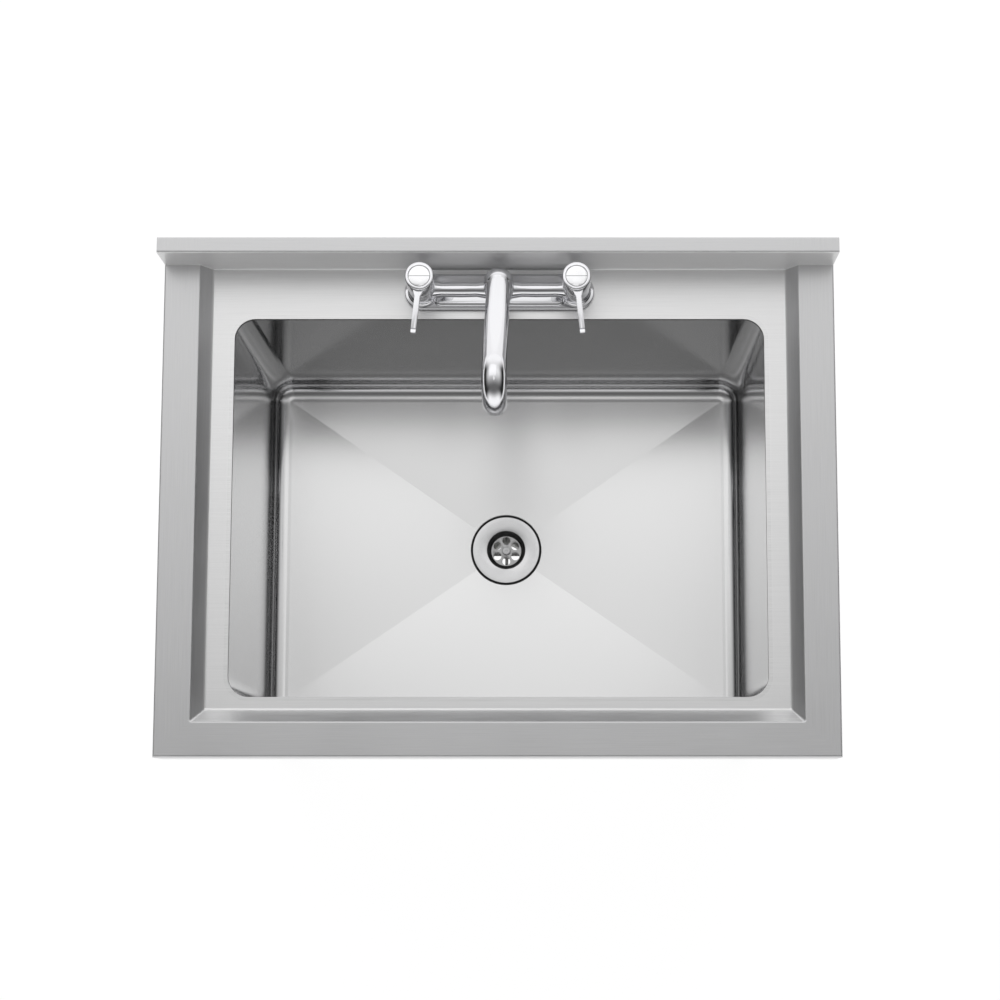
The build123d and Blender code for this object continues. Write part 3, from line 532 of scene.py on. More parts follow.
def soft_finish(name, colour, roughness, grain=900.0, metallic=0.0):
    """A moulded, rubber or cast surface: fine texture, slow changes of tone, and scuffs."""
    tree, shader, place = start_material(name)
    shader.inputs["Metallic"].default_value = metallic
    fine = noise_node(tree, place, grain, 3.0)
    slow = noise_node(tree, place, 25.0, 4.0)
    scuffs = spread_node(tree, noise_node(tree, place, 90.0, 5.0, 0.7), 0, 1, 0.55, 0.75)
    base = tint_node(
        tree,
        spread_node(tree, slow, 0, 1, 0.3, 0.7),
        [channel * 0.88 for channel in colour],
        [min(channel * 1.08, 1) for channel in colour],
    )
    worn = [min(channel * 1.25 + 0.02, 1) for channel in colour]
    tree.links.new(tint_node(tree, math_node(tree, "MULTIPLY", scuffs, 0.5), base, worn), shader.inputs["Base Color"])
    rough = spread_node(tree, fine, roughness * 0.85, min(roughness * 1.15, 1), 0.3, 0.7)
    tree.links.new(math_node(tree, "MULTIPLY_ADD", scuffs, -0.08, rough), shader.inputs["Roughness"])
    add_bump(tree, shader, fine, 0.25, 0.06)


# Sizes and colours


class SinkStageSettings(bpy.types.PropertyGroup):
    floor_size: FloatProperty(
        name="Floor size", description="Width of the pale floor", default=40, min=1, unit="LENGTH"
    )
    floor_colour: FloatVectorProperty(
        name="Floor", description="Colour of the floor", default=(0.95, 0.95, 0.95), subtype="COLOR"
    )
    dome_radius: FloatProperty(
        name="Dome", description="Radius of the studio dome", default=6, min=1, unit="LENGTH"
    )
    sky_strength: FloatProperty(
        name="Sky", description="Strength of the soft sky over the table", default=1, min=0
    )
    lamp_power: FloatProperty(
        name="Lamp", description="Power of the overhead lamp", default=5, min=0, unit="POWER"
    )
    side_strength: FloatProperty(
        name="Sides", description="Strength of the sky at the left and right horizon", default=0.02, min=0
    )
    front_strength: FloatProperty(
        name="Front and rear", description="Strength of the sky at the front and rear horizon", default=1.15, min=0
    )


class SinkFinishSettings(bpy.types.PropertyGroup):
    steel_colour: FloatVectorProperty(
        name="Steel", description="Colour of the satin steel", default=(0.66, 0.66, 0.665), subtype="COLOR"
    )
    steel_roughness: FloatProperty(
        name="Satin", description="Roughness of the satin steel", default=0.42, min=0, max=1, subtype="FACTOR"
    )
    bowl_colour: FloatVectorProperty(
        name="Bowl", description="Colour of the bowl's smoother steel", default=(0.71, 0.71, 0.715), subtype="COLOR"
    )
    bowl_roughness: FloatProperty(
        name="Bowl walls", description="Roughness of the bowl's walls", default=0.13, min=0, max=1, subtype="FACTOR"
    )
    floor_colour: FloatVectorProperty(
        name="Bowl floor", description="Colour of the bowl's floor", default=(0.79, 0.79, 0.79), subtype="COLOR"
    )
    floor_roughness: FloatProperty(
        name="Floor satin", description="Roughness of the bowl's floor", default=0.26, min=0, max=1, subtype="FACTOR"
    )
    worktop_metal: FloatProperty(
        name="Worktop metal", description="How metallic the brushed worktop is", default=0.85, min=0, max=1
    )
    splash_metal: FloatProperty(
        name="Splash metal", description="How metallic the upstand's front face is", default=0.35, min=0, max=1
    )
    deck_colour: FloatVectorProperty(
        name="Deck", description="Colour of the recessed deck and the bowl's lip", default=(0.87, 0.87, 0.87), subtype="COLOR"
    )
    # Painted light: the lighter colour of the upstand's front face
    splash_painted_light: FloatVectorProperty(
        name="Splash", description="Colour of the upstand's front face", default=(0.92, 0.92, 0.92), subtype="COLOR"
    )
    weld_colour: FloatVectorProperty(
        name="Welds", description="Colour of the ground-back welds", default=(0.82, 0.82, 0.82), subtype="COLOR"
    )
    chrome_colour: FloatVectorProperty(
        name="Chrome", description="Colour of the polished chrome", default=(0.85, 0.85, 0.86), subtype="COLOR"
    )
    brass_colour: FloatVectorProperty(
        name="Brass", description="Colour of the plain brass", default=(0.72, 0.56, 0.3), subtype="COLOR"
    )


class SinkTapSettings(bpy.types.PropertyGroup):
    column_radius: FloatProperty(
        name="Column", description="Radius of each valve column", default=15.5 * MM, min=0.001, unit="LENGTH"
    )
    hub_radius: FloatProperty(
        name="Hub", description="Radius of the spout's hub", default=18 * MM, min=0.001, unit="LENGTH"
    )
    knob_radius: FloatProperty(
        name="Knob", description="Radius of each handle's knob", default=17 * MM, min=0.001, unit="LENGTH"
    )
    lever_splay: FloatProperty(
        name="Splay", description="How far each lever leans outwards", default=math.radians(6), subtype="ANGLE"
    )
    spout_radius: FloatProperty(
        name="Spout", description="Radius of the spout's tube", default=14 * MM, min=0.001, unit="LENGTH"
    )
    spout_rise: FloatProperty(
        name="Rise", description="How steeply the spout rises", default=math.radians(43), subtype="ANGLE"
    )
    tip_radius: FloatProperty(
        name="Tip", description="Radius of the spout's end bend", default=22 * MM, min=0.001, unit="LENGTH"
    )


class SinkWasteSettings(bpy.types.PropertyGroup):
    hole_count: IntProperty(name="Holes", description="Number of drain holes", default=6, min=3, max=12)
    hole_radius: FloatProperty(
        name="Hole", description="Radius of each drain hole", default=5.5 * MM, min=0.001, unit="LENGTH"
    )
    pitch_radius: FloatProperty(
        name="Pitch", description="Radius of the ring of holes", default=14.3 * MM, min=0.001, unit="LENGTH"
    )


class SinkFrameSettings(bpy.types.PropertyGroup):
    rail_edge: FloatProperty(
        name="Rail edge", description="Radius of each rail's long edges", default=2 * MM, min=0, unit="LENGTH"
    )
    thread_pitch: FloatProperty(
        name="Pitch", description="Pitch of the feet's threads", default=1.5 * MM, min=0.0005, unit="LENGTH"
    )


# Operators: one for the stage, one for the finishes, and one for each group of pieces


class SINK_OT_stage(bpy.types.Operator):
    """Make the camera, the pale floor, the soft light, and the studio dome with the dark sides that the metal reflects
    """

    bl_idname = "sink.stage"
    bl_label = "Stage"

    def execute(self, context):
        settings = context.scene.sink_stage
        clear_selection()
        bpy.ops.object.camera_add(location=(0.0632, -0.3848, 2.7188), rotation=(math.radians(6), 0, 0))
        camera = context.active_object
        camera.name = "photo_camera"
        camera.data.sensor_width = 36
        camera.data.lens = 58.07
        camera.data.shift_x = -0.052
        camera.data.shift_y = 0.158
        context.scene.camera = camera

        bpy.ops.mesh.primitive_plane_add(size=settings.floor_size)
        floor = begin("floor")
        bpy.ops.mesh.subdivide(number_cuts=3)
        bpy.ops.object.mode_set(mode="OBJECT")
        floor.data.materials.append(self.floor_material(settings))

        reach = settings.dome_radius / MM
        curve = [math.radians(angle) for angle in range(0, 90, 6)]
        rings = [(reach * math.cos(angle), reach * math.sin(angle) - 10) for angle in curve]
        dome = turned("studio_dome", rings, closed=True)
        bpy.ops.object.mode_set(mode="OBJECT")
        dome.data.materials.append(self.dome_material(settings))
        dome.visible_camera = False

        clear_selection()
        bpy.ops.object.light_add(type="AREA", location=(-0.6, 1.5, 3.4), rotation=(math.radians(-22), math.radians(-8), 0))
        lamp = context.active_object
        lamp.name = "overhead_softbox"
        lamp.data.shape = "RECTANGLE"
        lamp.data.size = 3.2
        lamp.data.size_y = 2.2
        lamp.data.energy = settings.lamp_power
        self.light_the_world(context.scene)
        context.scene.view_settings.view_transform = "Standard"
        return {"FINISHED"}

    def floor_material(self, settings):
        material = bpy.data.materials.new("floor_paint")
        material.use_nodes = True
        tree = material.node_tree
        shader = tree.nodes["Principled BSDF"]
        place = tree.nodes.new("ShaderNodeTexCoord").outputs["Object"]
        pale = tuple(settings.floor_colour)
        clouds = spread_node(tree, noise_node(tree, place, 1.5), 0, 1, 0.3, 0.7)
        shadowed = [channel * 0.99 for channel in pale]
        tree.links.new(tint_node(tree, clouds, pale, shadowed), shader.inputs["Base Color"])
        shader.inputs["Roughness"].default_value = 0.9
        shader.inputs["Specular IOR Level"].default_value = 0.1
        glow = tree.nodes.new("ShaderNodeEmission")
        glow.inputs["Strength"].default_value = 1.1
        mix = tree.nodes.new("ShaderNodeMixShader")
        tree.links.new(math_node(tree, "MULTIPLY", seen_node(tree), 0.85), mix.inputs[0])
        tree.links.new(shader.outputs[0], mix.inputs[1])
        tree.links.new(glow.outputs[0], mix.inputs[2])
        tree.links.new(mix.outputs[0], tree.nodes["Material Output"].inputs["Surface"])
        return material

    def dome_material(self, settings):
        """A studio sky: bright over the rear, darker over the front, dark at the left and right."""
        material = bpy.data.materials.new("dome_glow")
        material.use_nodes = True
        tree = material.node_tree
        tree.nodes.remove(tree.nodes["Principled BSDF"])
        place = tree.nodes.new("ShaderNodeTexCoord").outputs["Object"]
        towards = tree.nodes.new("ShaderNodeVectorMath")
        towards.operation = "NORMALIZE"
        tree.links.new(place, towards.inputs[0])
        direction = tree.nodes.new("ShaderNodeSeparateXYZ")
        tree.links.new(towards.outputs[0], direction.inputs[0])
        along = direction.outputs["Y"]
        above = settings.sky_strength
        overhead = spread_node(tree, along, 0.15 * above, above, -0.4, 0.4, smooth=True)
        facing = math_node(tree, "ABSOLUTE", along)
        low = spread_node(tree, facing, settings.side_strength, settings.front_strength, 0.4, 0.85, smooth=True)
        height = spread_node(tree, direction.outputs["Z"], 0, 1, 0.3, 0.85, smooth=True)
        kept = math_node(tree, "MULTIPLY", low, math_node(tree, "SUBTRACT", 1, height))
        glow = tree.nodes.new("ShaderNodeEmission")
        tree.links.new(math_node(tree, "MULTIPLY_ADD", overhead, height, kept), glow.inputs["Strength"])
        tree.links.new(glow.outputs[0], tree.nodes["Material Output"].inputs["Surface"])
        return material

    def light_the_world(self, scene):
        world = bpy.data.worlds.new("white_world")
        world.use_nodes = True
        scene.world = world
        tree = world.node_tree
        plain = tree.nodes["Background"]
        plain.inputs["Strength"].default_value = 0.7
        plain.inputs["Color"].default_value = (1, 1, 1, 1)
        white = tree.nodes.new("ShaderNodeBackground")
        white.inputs["Strength"].default_value = 1
        white.inputs["Color"].default_value = (1, 1, 1, 1)
        mix = tree.nodes.new("ShaderNodeMixShader")
        tree.links.new(seen_node(tree), mix.inputs[0])
        tree.links.new(plain.outputs[0], mix.inputs[1])
        tree.links.new(white.outputs[0], mix.inputs[2])
        tree.links.new(mix.outputs[0], tree.nodes["World Output"].inputs["Surface"])


class SINK_OT_finishes(bpy.types.Operator):
    """Make the materials and put them on the solids that keep their shape"""

    bl_idname = "sink.finishes"
    bl_label = "Finishes"

    def execute(self, context):
        settings = context.scene.sink_finish
        build_grain_group()
        build_region_group()
        worktop_steel()
        bowl_steel()
        steel("upright_steel", (1300, 1300, 14))
        steel("rail_steel_x", (14, 1300, 1300))
        steel("rail_steel_y", (1300, 14, 1300))
        steel("fastener_steel", (600, 600, 600))
        turned_steel()
        chrome("chrome")
        chrome("cap_chrome", line=True)
        soft_finish("brass", tuple(settings.brass_colour), 0.3, 700.0, 1.0)
        soft_finish("rubber", (0.03, 0.03, 0.03), 0.7)
        soft_finish("nylon", (0.045, 0.045, 0.047), 0.5)
        soft_finish("foot_nylon", (0.07, 0.07, 0.072), 0.45)
        soft_finish("white_plastic", (0.8, 0.8, 0.79), 0.4)
        finishes = {
            "satin_steel": "worktop_steel",
            "frame_steel": "upright_steel",
            "bright_fastener": "fastener_steel",
            "chrome": "chrome",
            "brass": "brass",
            "black_rubber": "rubber",
            "black_plastic": "nylon",
            "foot_plastic": "foot_nylon",
            "white_plastic": "white_plastic",
        }
        special = {"bowl": "bowl_steel", "rail_rear": "rail_steel_x", "rail_left": "rail_steel_y", "rail_right": "rail_steel_y"}
        for part in frame["record"]["subparts"]:
            name = part["node"]
            material = bpy.data.materials[special.get(name, finishes[part["material_slot"]])]
            for slot in frame["nodes"][name].material_slots:
                slot.material = material
        return {"FINISHED"}


class SINK_OT_casting(bpy.types.Operator):
    """Shape the tap's casting: deck plate, plinth, two columns, the bridge and the hub"""

    bl_idname = "sink.casting"
    bl_label = "Tap casting"

    def execute(self, context):
        settings = context.scene.sink_tap
        base = TAP_LOW.z / MM
        top = TAP_HIGH.z / MM
        column = settings.column_radius / MM
        hub = settings.hub_radius / MM
        plate_rings = [(21.6, base), (22, base + 0.4), (22, base + 2.2), (21.6, base + 3.3), (20.6, base + 4)]
        casting = turned("tap_casting", plate_rings, (0, TAP_Y), 96, (TAP_HALF, 0))
        plinth_rings = [(9, base + 3.6), (9, base + 5.2), (8.6, base + 6.8), (7.6, base + 8.1), (5.6, base + 9)]
        parts = [turned("plinth", plinth_rings, (0, TAP_Y), 48, (69.5 * MM, 10.5 * MM))]
        for side in SIDES.values():
            column_rings = [
                (column + 3.4, base + 3.5),
                (column + 1.6, base + 4.6),
                (column + 0.5, base + 6.4),
                (column, base + 9),
                (column, top - 2.2),
                (column - 0.4, top - 1),
                (column - 1.4, top),
            ]
            parts.append(turned("column", column_rings, (side * TAP_HALF, TAP_Y), 64))
        hub_rings = [
            (hub + 2.8, base + 3.5),
            (hub + 1.3, base + 4.8),
            (hub + 0.4, base + 7),
            (hub, base + 10),
            (hub, top - 4),
            (hub - 0.5, top - 2.6),
            (hub - 1.4, top - 2),
        ]
        parts.append(turned("hub", hub_rings, (0, TAP_Y), 64))
        parts.append(self.bridge(base + 11))
        join(casting, parts)
        complete(casting, "frame", "chrome", ["tap_body"], 40)
        return {"FINISHED"}

    def bridge(self, level):
        """The round bar between the columns, fuller at the ends and in the middle of each half."""
        reach = TAP_HALF / MM - 10
        half = [(11, reach), (9.2, reach - 7), (8, reach - 13), (8.4, reach / 2 + 4), (8, 27), (9.4, 20), (10.5, 14)]
        rings = [(radius, -spot) for radius, spot in half] + [(radius, spot) for radius, spot in reversed(half)]
        piece = turned("bridge", rings, (0, 0), 48)
        bpy.ops.object.mode_set(mode="OBJECT")
        settle(piece, (0, TAP_Y, level * MM), (0, math.pi / 2, 0))
        return piece


class SINK_OT_spout(bpy.types.Operator):
    """Shape the spout: a dome over the hub and a tube that rises forward and turns down"""

    bl_idname = "sink.spout"
    bl_label = "Spout"

    def execute(self, context):
        settings = context.scene.sink_tap
        ring_top = box("glide_ring")[1].z / MM
        centre = ring_top + 2.5
        dome = box("spout")[1].x / MM - 0.05
        rings = [(dome - 0.6, ring_top), (dome, ring_top + 0.6), (dome, centre)]
        rings += [(dome * math.cos(math.radians(angle)), centre + dome * math.sin(math.radians(angle))) for angle in range(8, 89, 8)]
        piece = turned("tap_spout", rings, (0, TAP_Y), 64)
        bpy.ops.object.mode_set(mode="OBJECT")
        tube = self.tube(settings, centre * MM)
        cut(piece, tube, "UNION")
        complete(piece, "spout", "chrome", ["spout"], 50)

        ring_low, ring_high = box("aerator_housing")
        low = ring_low.z / MM
        edge = (ring_high.x - ring_low.x) / 2 / MM
        thread = settings.spout_radius / MM - 1.8
        spot = (MOUTH.x, MOUTH.y)
        profile = [
            (9.6, low + 0.5),
            (10.1, low),
            (edge - 0.7, low),
            (edge, low + 0.8),
            (edge, low + 3.2),
            (edge - 0.4, low + 3.8),
            (thread, low + 4),
            (thread, low + 10.8),
            (9.6, low + 10.8),
            (9.6, low + 0.5),
        ]
        ring = turned("aerator_ring", profile, spot, 72, closed=True)
        bpy.ops.object.mode_set(mode="OBJECT")
        complete(ring, "spout", "chrome", ["aerator_housing"])
        return {"FINISHED"}

    def tube(self, settings, level):
        """The tube as a ring of edges: pulled along the rise, spun round the tip and pulled down."""
        rise = settings.spout_rise
        radius = settings.tip_radius
        reach = TAP_Y - MOUTH.y
        tangent = radius * math.tan((math.pi / 2 + rise) / 2)
        corner = level + reach * math.tan(rise)
        mouth = box("aerator_housing")[0].z + 4 * MM
        clear_selection()
        bpy.ops.mesh.primitive_circle_add(
            vertices=64,
            radius=settings.spout_radius,
            fill_type="NOTHING",
            location=(0, TAP_Y, level),
            rotation=(math.pi / 2 - rise, 0, 0),
        )
        piece = begin("spout_tube")
        run = reach / math.cos(rise) - tangent
        pull((0, -run * math.cos(rise), run * math.sin(rise)))
        bpy.ops.mesh.spin(
            steps=28,
            angle=math.pi / 2 + rise,
            center=(0, MOUTH.y + radius, corner - tangent),
            axis=(-1, 0, 0),
        )
        pull((0, 0, mouth - (corner - tangent)))
        inner = 1 - 1.6 * MM / settings.spout_radius
        pull((0, 0, 0))
        bpy.ops.transform.resize(value=(inner, inner, 1), center_override=(0, MOUTH.y, mouth))
        pull((0, 0, 9 * MM))
        bpy.ops.mesh.edge_face_add()
        pick("VERT", lambda point: abs((point.y - TAP_Y) * math.cos(rise) - (point.z - level) * math.sin(rise)) < 1e-5)
        bpy.ops.mesh.edge_face_add()
        bpy.ops.mesh.select_all(action="SELECT")
        bpy.ops.mesh.normals_make_consistent(inside=False)
        bpy.ops.object.mode_set(mode="OBJECT")
        return piece


class SINK_OT_handles(bpy.types.Operator):
    """Shape both handles, each a knob with a lever, and the caps in their tops"""

    bl_idname = "sink.handles"
    bl_label = "Handles"

    def execute(self, context):
        settings = context.scene.sink_tap
        low = KNOB_LOW.z / MM
        top = KNOB_HIGH.z / MM
        edge = settings.knob_radius / MM
        for name, side in SIDES.items():
            knob_rings = [
                (14, low + 8),
                (14, low + 0.4),
                (14.4, low),
                (edge - 0.7, low),
                (edge, low + 0.8),
                (edge, top - 1.6),
                (edge - 0.5, top - 0.6),
                (edge - 1.6, top),
                (13.3, top),
                (12.9, top - 0.5),
                (12.9, top - 3),
            ]
            knob = turned(f"tap_handle_{name}", knob_rings, (0, 0), 72)
            bpy.ops.object.mode_set(mode="OBJECT")
            lever = self.lever(top)
            join(knob, [lever])
            settle(knob, (side * TAP_HALF, TAP_Y, 0), (0, 0, side * settings.lever_splay))
            complete(knob, f"handle_{name}", "chrome", [f"handle_{name}"])
            cap_rings = [
                (12.6, top - 3),
                (12.6, top - 1.3),
                (12.3, top - 0.85),
                (11.6, top - 0.62),
                (6, top - 0.5),
            ]
            cap = turned(f"tap_cap_{name}", cap_rings, (side * TAP_HALF, TAP_Y), 72)
            bpy.ops.object.mode_set(mode="OBJECT")
            complete(cap, f"handle_{name}", "cap_chrome", [f"handle_cap_{name}"])
        return {"FINISHED"}

    def lever(self, top):
        """A tapered neck, a flat bar and a small end piece behind a groove."""
        high = (top - 5) * MM
        low = (top - 11.5) * MM
        lever = bar("lever", (-6.2 * MM, -15 * MM, low), (6.2 * MM, -13 * MM, high))
        bpy.ops.mesh.select_all(action="DESELECT")
        level = (low + high) / 2
        steps = [
            (-23, 0.508, 1),
            (-61.8, 1, 1),
            (-62, 0.8, 0.8),
            (-62.7, 1, 1),
            (-62.9, 1.25, 1.25),
            (-66.2, 1, 1),
            (-67, 0.8, 0.8),
        ]
        pick("FACE", lambda point: point.y < -14.9 * MM)
        spot = -15
        for reach, wide, tall in steps:
            pull((0, (reach - spot) * MM, 0))
            bpy.ops.transform.resize(value=(wide, 1, tall), center_override=(0, reach * MM, level))
            spot = reach
        bpy.ops.object.mode_set(mode="OBJECT")
        soften(lever, 0.5, 2, 60)
        return lever


class SINK_OT_underside(bpy.types.Operator):
    """Shape the tap's threaded tails under the deck"""

    bl_idname = "sink.underside"
    bl_label = "Tap tails"

    def execute(self, context):
        low, high = box("tail_left")
        bottom = low.z / MM
        rings = [(6, bottom + 20), (6, bottom + 0.5), (6.5, bottom), (9.4, bottom)]
        rings += ridges(10.45, bottom + 0.8, bottom + 29.6, 1.8, 0.9)
        rings += [(10.1, bottom + 30)]
        rings += ridges(11, bottom + 30.4, bottom + 55, 1.5, 0.7)
        rings += [(11, high.z / MM)]
        for name, side in SIDES.items():
            tail = turned(f"threaded_tail_{name}", rings, (side * TAP_HALF, TAP_Y), 36)
            bpy.ops.object.mode_set(mode="OBJECT")
            complete(tail, "frame", "brass", [f"tail_{name}"], 25)
        return {"FINISHED"}


class SINK_OT_waste(bpy.types.Operator):
    """Shape the waste: the flange with its drain holes, its slotted screw and the body below"""

    bl_idname = "sink.waste"
    bl_label = "Waste"

    def execute(self, context):
        settings = context.scene.sink_waste
        spot = (DRAIN.x, DRAIN.y)
        top = box("waste_flange")[1].z / MM
        rings = [
            (22.5, top - 11.2),
            (27.2, top - 1.2),
            (46.6, top - 1.2),
            (47, top - 0.9),
            (47, top - 0.5),
            (46.5, top - 0.1),
            (45.6, top),
            (27.4, top),
            (26, top - 0.5),
            (25.4, top - 1.4),
            (21.6, top - 9.3),
            (20.6, top - 10),
        ]
        flange = turned("drain_flange", rings, spot, 96)
        bpy.ops.object.mode_set(mode="OBJECT")
        cutters = []
        for index in range(settings.hole_count):
            angle = math.radians(90) + math.tau * index / settings.hole_count
            place = (spot[0] + settings.pitch_radius * math.cos(angle), spot[1] + settings.pitch_radius * math.sin(angle))
            cutters.append(turned("drain_hole", [(settings.hole_radius / MM, top - 14), (settings.hole_radius / MM, top - 7)], place, 32))
            bpy.ops.object.mode_set(mode="OBJECT")
        join(cutters[0], cutters[1:])
        cut(flange, cutters[0])
        soften(flange, 0.35, 2, 50)
        complete(flange, "frame", "turned_steel", ["waste_flange"])

        seat = top - 10
        low = box("waste_screw")[0].z / MM
        screw_rings = [(3, low), (3, seat - 0.4), (5.2, seat - 0.1), (5.5, seat + 0.3), (5.5, seat + 1.5), (5, seat + 2.1), (3.8, seat + 2.4)]
        screw = turned("drain_screw", screw_rings, spot, 40)
        bpy.ops.object.mode_set(mode="OBJECT")
        for wide, deep in ((2.2, 0.6), (0.6, 2.2)):
            slot_low = (spot[0] - wide * MM, spot[1] - deep * MM, (seat + 1) * MM)
            slot_high = (spot[0] + wide * MM, spot[1] + deep * MM, (seat + 4) * MM)
            slot = bar("screw_slot", slot_low, slot_high)
            bpy.ops.object.mode_set(mode="OBJECT")
            cut(screw, slot)
        complete(screw, "frame", "fastener_steel", ["waste_screw"])

        low, high = box("waste_top_seal")
        bottom, seal_top = low.z / MM, high.z / MM
        seal_rings = [(30, bottom), (48.4, bottom), (48.7, bottom + 0.4), (48.3, seal_top + 0.3), (47.2, seal_top + 0.4)]
        seal_rings += [(47.2, seal_top), (30, seal_top), (30, bottom)]
        seal = turned("flange_seal", seal_rings, spot, 96, closed=True)
        bpy.ops.object.mode_set(mode="OBJECT")
        complete(seal, "frame", "rubber", ["waste_top_seal"])
        self.body(spot)
        return {"FINISHED"}

    def body(self, spot):
        low, high = box("waste_body")
        top, bottom = high.z / MM, low.z / MM
        rings = [(30, top), (42.6, top), (43, top - 0.4), (43, top - 2.6), (42.6, top - 3), (34, top - 3), (33, top - 4), (33, top - 34), (24.6, bottom + 31)]
        rings += ridges(23.9, bottom + 29.5, bottom + 0.8, 2.2, 1.1)
        rings += [(23.2, bottom), (20, bottom), (20, bottom + 30), (30, bottom + 44), (30, top)]
        body = turned("waste_cup", rings, spot, 64, closed=True)
        bpy.ops.object.mode_set(mode="OBJECT")
        boss_top, boss_bottom = top - 22, top - 34
        parts = [turned("boss", [(6.5, boss_bottom), (6.5, boss_top - 0.6), (5.9, boss_top)], spot, 32)]
        bpy.ops.object.mode_set(mode="OBJECT")
        for turn in range(2):
            spoke = bar("spoke", (-31 * MM, -2 * MM, boss_bottom * MM), (31 * MM, 2 * MM, boss_top * MM))
            bpy.ops.object.mode_set(mode="OBJECT")
            soften(spoke, 0.5)
            settle(spoke, (spot[0], spot[1], 0), (0, 0, math.radians(90 * turn)))
            parts.append(spoke)
        join(body, parts)
        complete(body, "frame", "white_plastic", ["waste_body"], 25)


class SINK_OT_feet(bpy.types.Operator):
    """Shape the four levelling feet: a ribbed pad and its threaded stem"""

    bl_idname = "sink.feet"
    bl_label = "Feet"

    def execute(self, context):
        settings = context.scene.sink_frame
        pad_rings = [(20.6, 0), (22, 0.9), (22, 3.4), (21.4, 4), (21.4, 4.8), (22, 5.4), (22, 7.6), (21.2, 9.2), (18.5, 10.6), (13, 11.4), (9.5, 12), (7.5, 12)]
        pitch = settings.thread_pitch / MM
        stem_top = box("foot_front_left")[1].z / MM
        stem_rings = [(5, 11.5)] + ridges(5, 12.5, 56, pitch, 0.55) + [(4.6, 57), (4.6, stem_top - 1), (3.8, stem_top)]
        pad = turned("foot_pad", pad_rings, (0, 0), 64)
        bpy.ops.object.mode_set(mode="OBJECT")
        stem = turned("foot_stem", stem_rings, (0, 0), 28)
        bpy.ops.object.mode_set(mode="OBJECT")
        for name in CORNERS:
            place = middle(f"foot_{name}")
            spot = (place.x, place.y, 0)
            complete(copied(pad, f"foot_pad_{name}", spot), f"foot_{name}", "foot_nylon", [f"foot_{name}"])
            complete(copied(stem, f"foot_stem_{name}", spot), f"foot_{name}", "fastener_steel", [f"foot_{name}"], 25)
        bpy.data.objects.remove(pad)
        bpy.data.objects.remove(stem)
        return {"FINISHED"}


class SINK_OT_fixings(bpy.types.Operator):
    """Shape the domed heads of the rail bolts and the socket screws, each with a hexagon socket"""

    bl_idname = "sink.fixings"
    bl_label = "Bolts and screws"

    def execute(self, context):
        leg_face = 20
        for node, head, height, shank, length in (("rail_bolts", 7, 4, 4, 58), ("socket_screws", 5.5, 3, 3, 12)):
            model = self.screw(head, height, shank, length)
            places = []
            for side_x, side_y in CORNERS.values():
                leg = middle(f"leg_{'front' if side_y < 0 else 'rear'}_{'left' if side_x < 0 else 'right'}")
                if node == "rail_bolts":
                    low, high = box("rail_bolts")
                    upper = high.z - head * MM
                    lower = low.z + head * MM
                    rear = middle("rail_rear").y
                    places.append((leg.x, leg.y + side_y * leg_face * MM, upper, (-side_y * math.pi / 2, 0, 0)))
                    if side_y > 0:
                        places.append((leg.x + side_x * leg_face * MM, rear, lower, (0, side_x * math.pi / 2, 0)))
                else:
                    level = middle("socket_screws").z
                    places.append((leg.x, leg.y - side_y * leg_face * MM, level, (side_y * math.pi / 2, 0, 0)))
                    places.append((leg.x - side_x * leg_face * MM, leg.y, level, (0, -side_x * math.pi / 2, 0)))
            made = [copied(model, f"{node}_{index}", place[:3], place[3]) for index, place in enumerate(places)]
            bpy.data.objects.remove(model)
            join(made[0], made[1:])
            made[0].name = f"domed_{node}"
            complete(made[0], "frame", "fastener_steel", [node])
        return {"FINISHED"}

    def screw(self, head, height, shank, length):
        """A screw that stands on the origin with its head up, under which the leg's face lies."""
        rings = [(shank, -length), (shank, -0.3), (head, 0), (head, height * 0.28), (head * 0.93, height * 0.6), (head * 0.76, height * 0.88), (head * 0.55, height)]
        model = turned("screw", rings, (0, 0), 32)
        bpy.ops.object.mode_set(mode="OBJECT")
        socket = turned("socket", [(head * 0.42, height * 0.4), (head * 0.42, height * 2)], (0, 0), 6)
        bpy.ops.object.mode_set(mode="OBJECT")
        cut(model, socket)
        return model


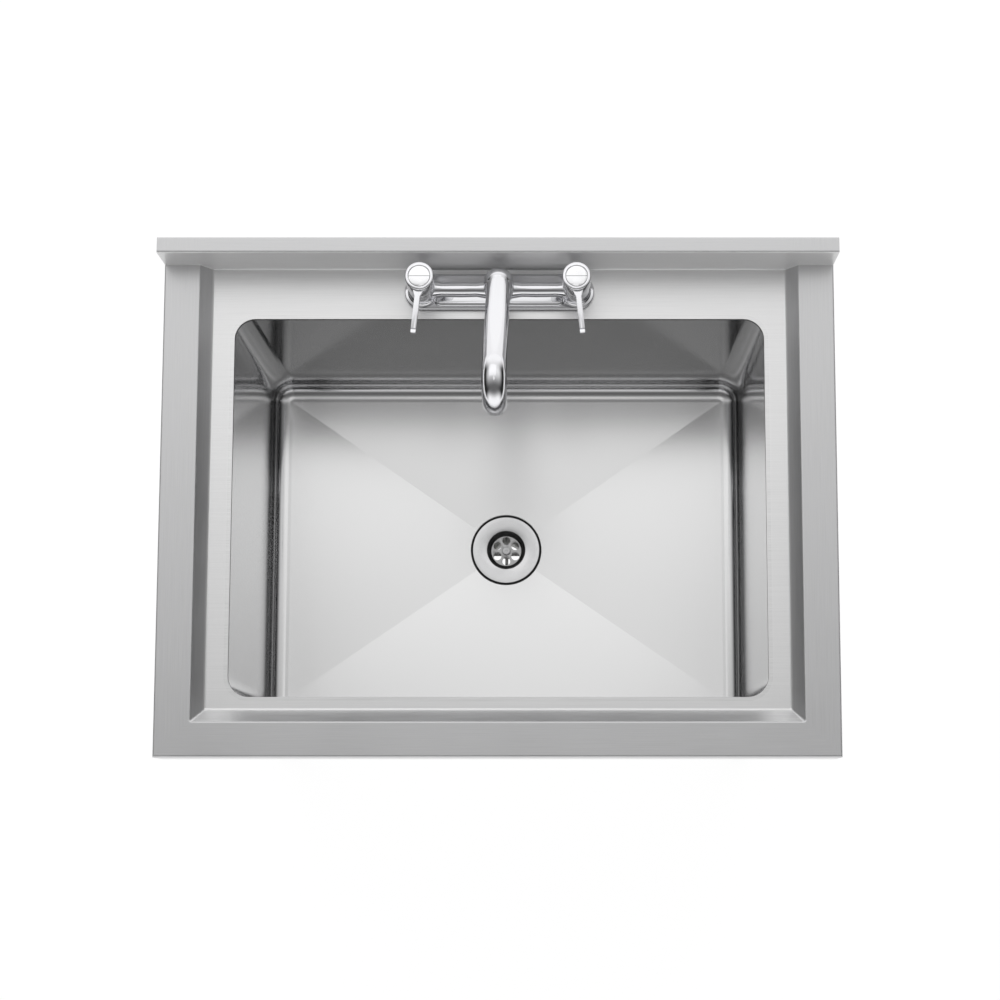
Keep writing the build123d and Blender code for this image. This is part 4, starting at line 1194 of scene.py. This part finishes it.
class SINK_OT_rails(bpy.types.Operator):
    """Shape the three lower rails with rounded long edges"""

    bl_idname = "sink.rails"
    bl_label = "Lower rails"

    def execute(self, context):
        edge = context.scene.sink_frame.rail_edge
        for node, axis, material in (("rail_left", 1, "rail_steel_y"), ("rail_right", 1, "rail_steel_y"), ("rail_rear", 0, "rail_steel_x")):
            low, high = box(node)
            rail = bar(f"tube_{node}", low, high)
            shape = bmesh.from_edit_mesh(rail.data)
            bpy.ops.mesh.select_mode(type="EDGE")
            bpy.ops.mesh.select_all(action="DESELECT")
            for line in shape.edges:
                run = line.verts[0].co - line.verts[1].co
                line.select_set(abs(run[axis]) > (high - low)[axis] / 2)
            bmesh.update_edit_mesh(rail.data)
            bpy.ops.mesh.bevel(offset=edge, segments=4, affect="EDGES")
            bpy.ops.object.mode_set(mode="OBJECT")
            complete(rail, "frame", material, [node])
        return {"FINISHED"}


class SINK_PT_panel(bpy.types.Panel):
    """The sink table's settings and pieces"""

    bl_idname = "SINK_PT_panel"
    bl_label = "Sink table"
    bl_space_type = "VIEW_3D"
    bl_region_type = "UI"
    bl_category = "Sink table"

    def draw(self, context):
        layout = self.layout
        for name in SETTINGS:
            settings = getattr(context.scene, name)
            for key in settings.__annotations__:
                layout.prop(settings, key)
        for operator in OPERATORS:
            layout.operator(operator.bl_idname)


SETTINGS = {
    "sink_stage": SinkStageSettings,
    "sink_finish": SinkFinishSettings,
    "sink_tap": SinkTapSettings,
    "sink_waste": SinkWasteSettings,
    "sink_frame": SinkFrameSettings,
}
OPERATORS = (
    SINK_OT_stage,
    SINK_OT_finishes,
    SINK_OT_casting,
    SINK_OT_spout,
    SINK_OT_handles,
    SINK_OT_underside,
    SINK_OT_waste,
    SINK_OT_feet,
    SINK_OT_fixings,
    SINK_OT_rails,
)


def register():
    for settings in SETTINGS.values():
        bpy.utils.register_class(settings)
    for operator in OPERATORS:
        bpy.utils.register_class(operator)
    bpy.utils.register_class(SINK_PT_panel)
    for name, settings in SETTINGS.items():
        setattr(bpy.types.Scene, name, PointerProperty(type=settings))


def unregister():
    for name in SETTINGS:
        delattr(bpy.types.Scene, name)
    bpy.utils.unregister_class(SINK_PT_panel)
    for operator in reversed(OPERATORS):
        bpy.utils.unregister_class(operator)
    for settings in reversed(SETTINGS.values()):
        bpy.utils.unregister_class(settings)


def main():
    register()
    bpy.ops.sink.stage()
    bpy.ops.sink.finishes()
    bpy.ops.sink.casting()
    bpy.ops.sink.spout()
    bpy.ops.sink.handles()
    bpy.ops.sink.underside()
    bpy.ops.sink.waste()
    bpy.ops.sink.feet()
    bpy.ops.sink.fixings()
    bpy.ops.sink.rails()


if __name__ == "__main__":
    main()
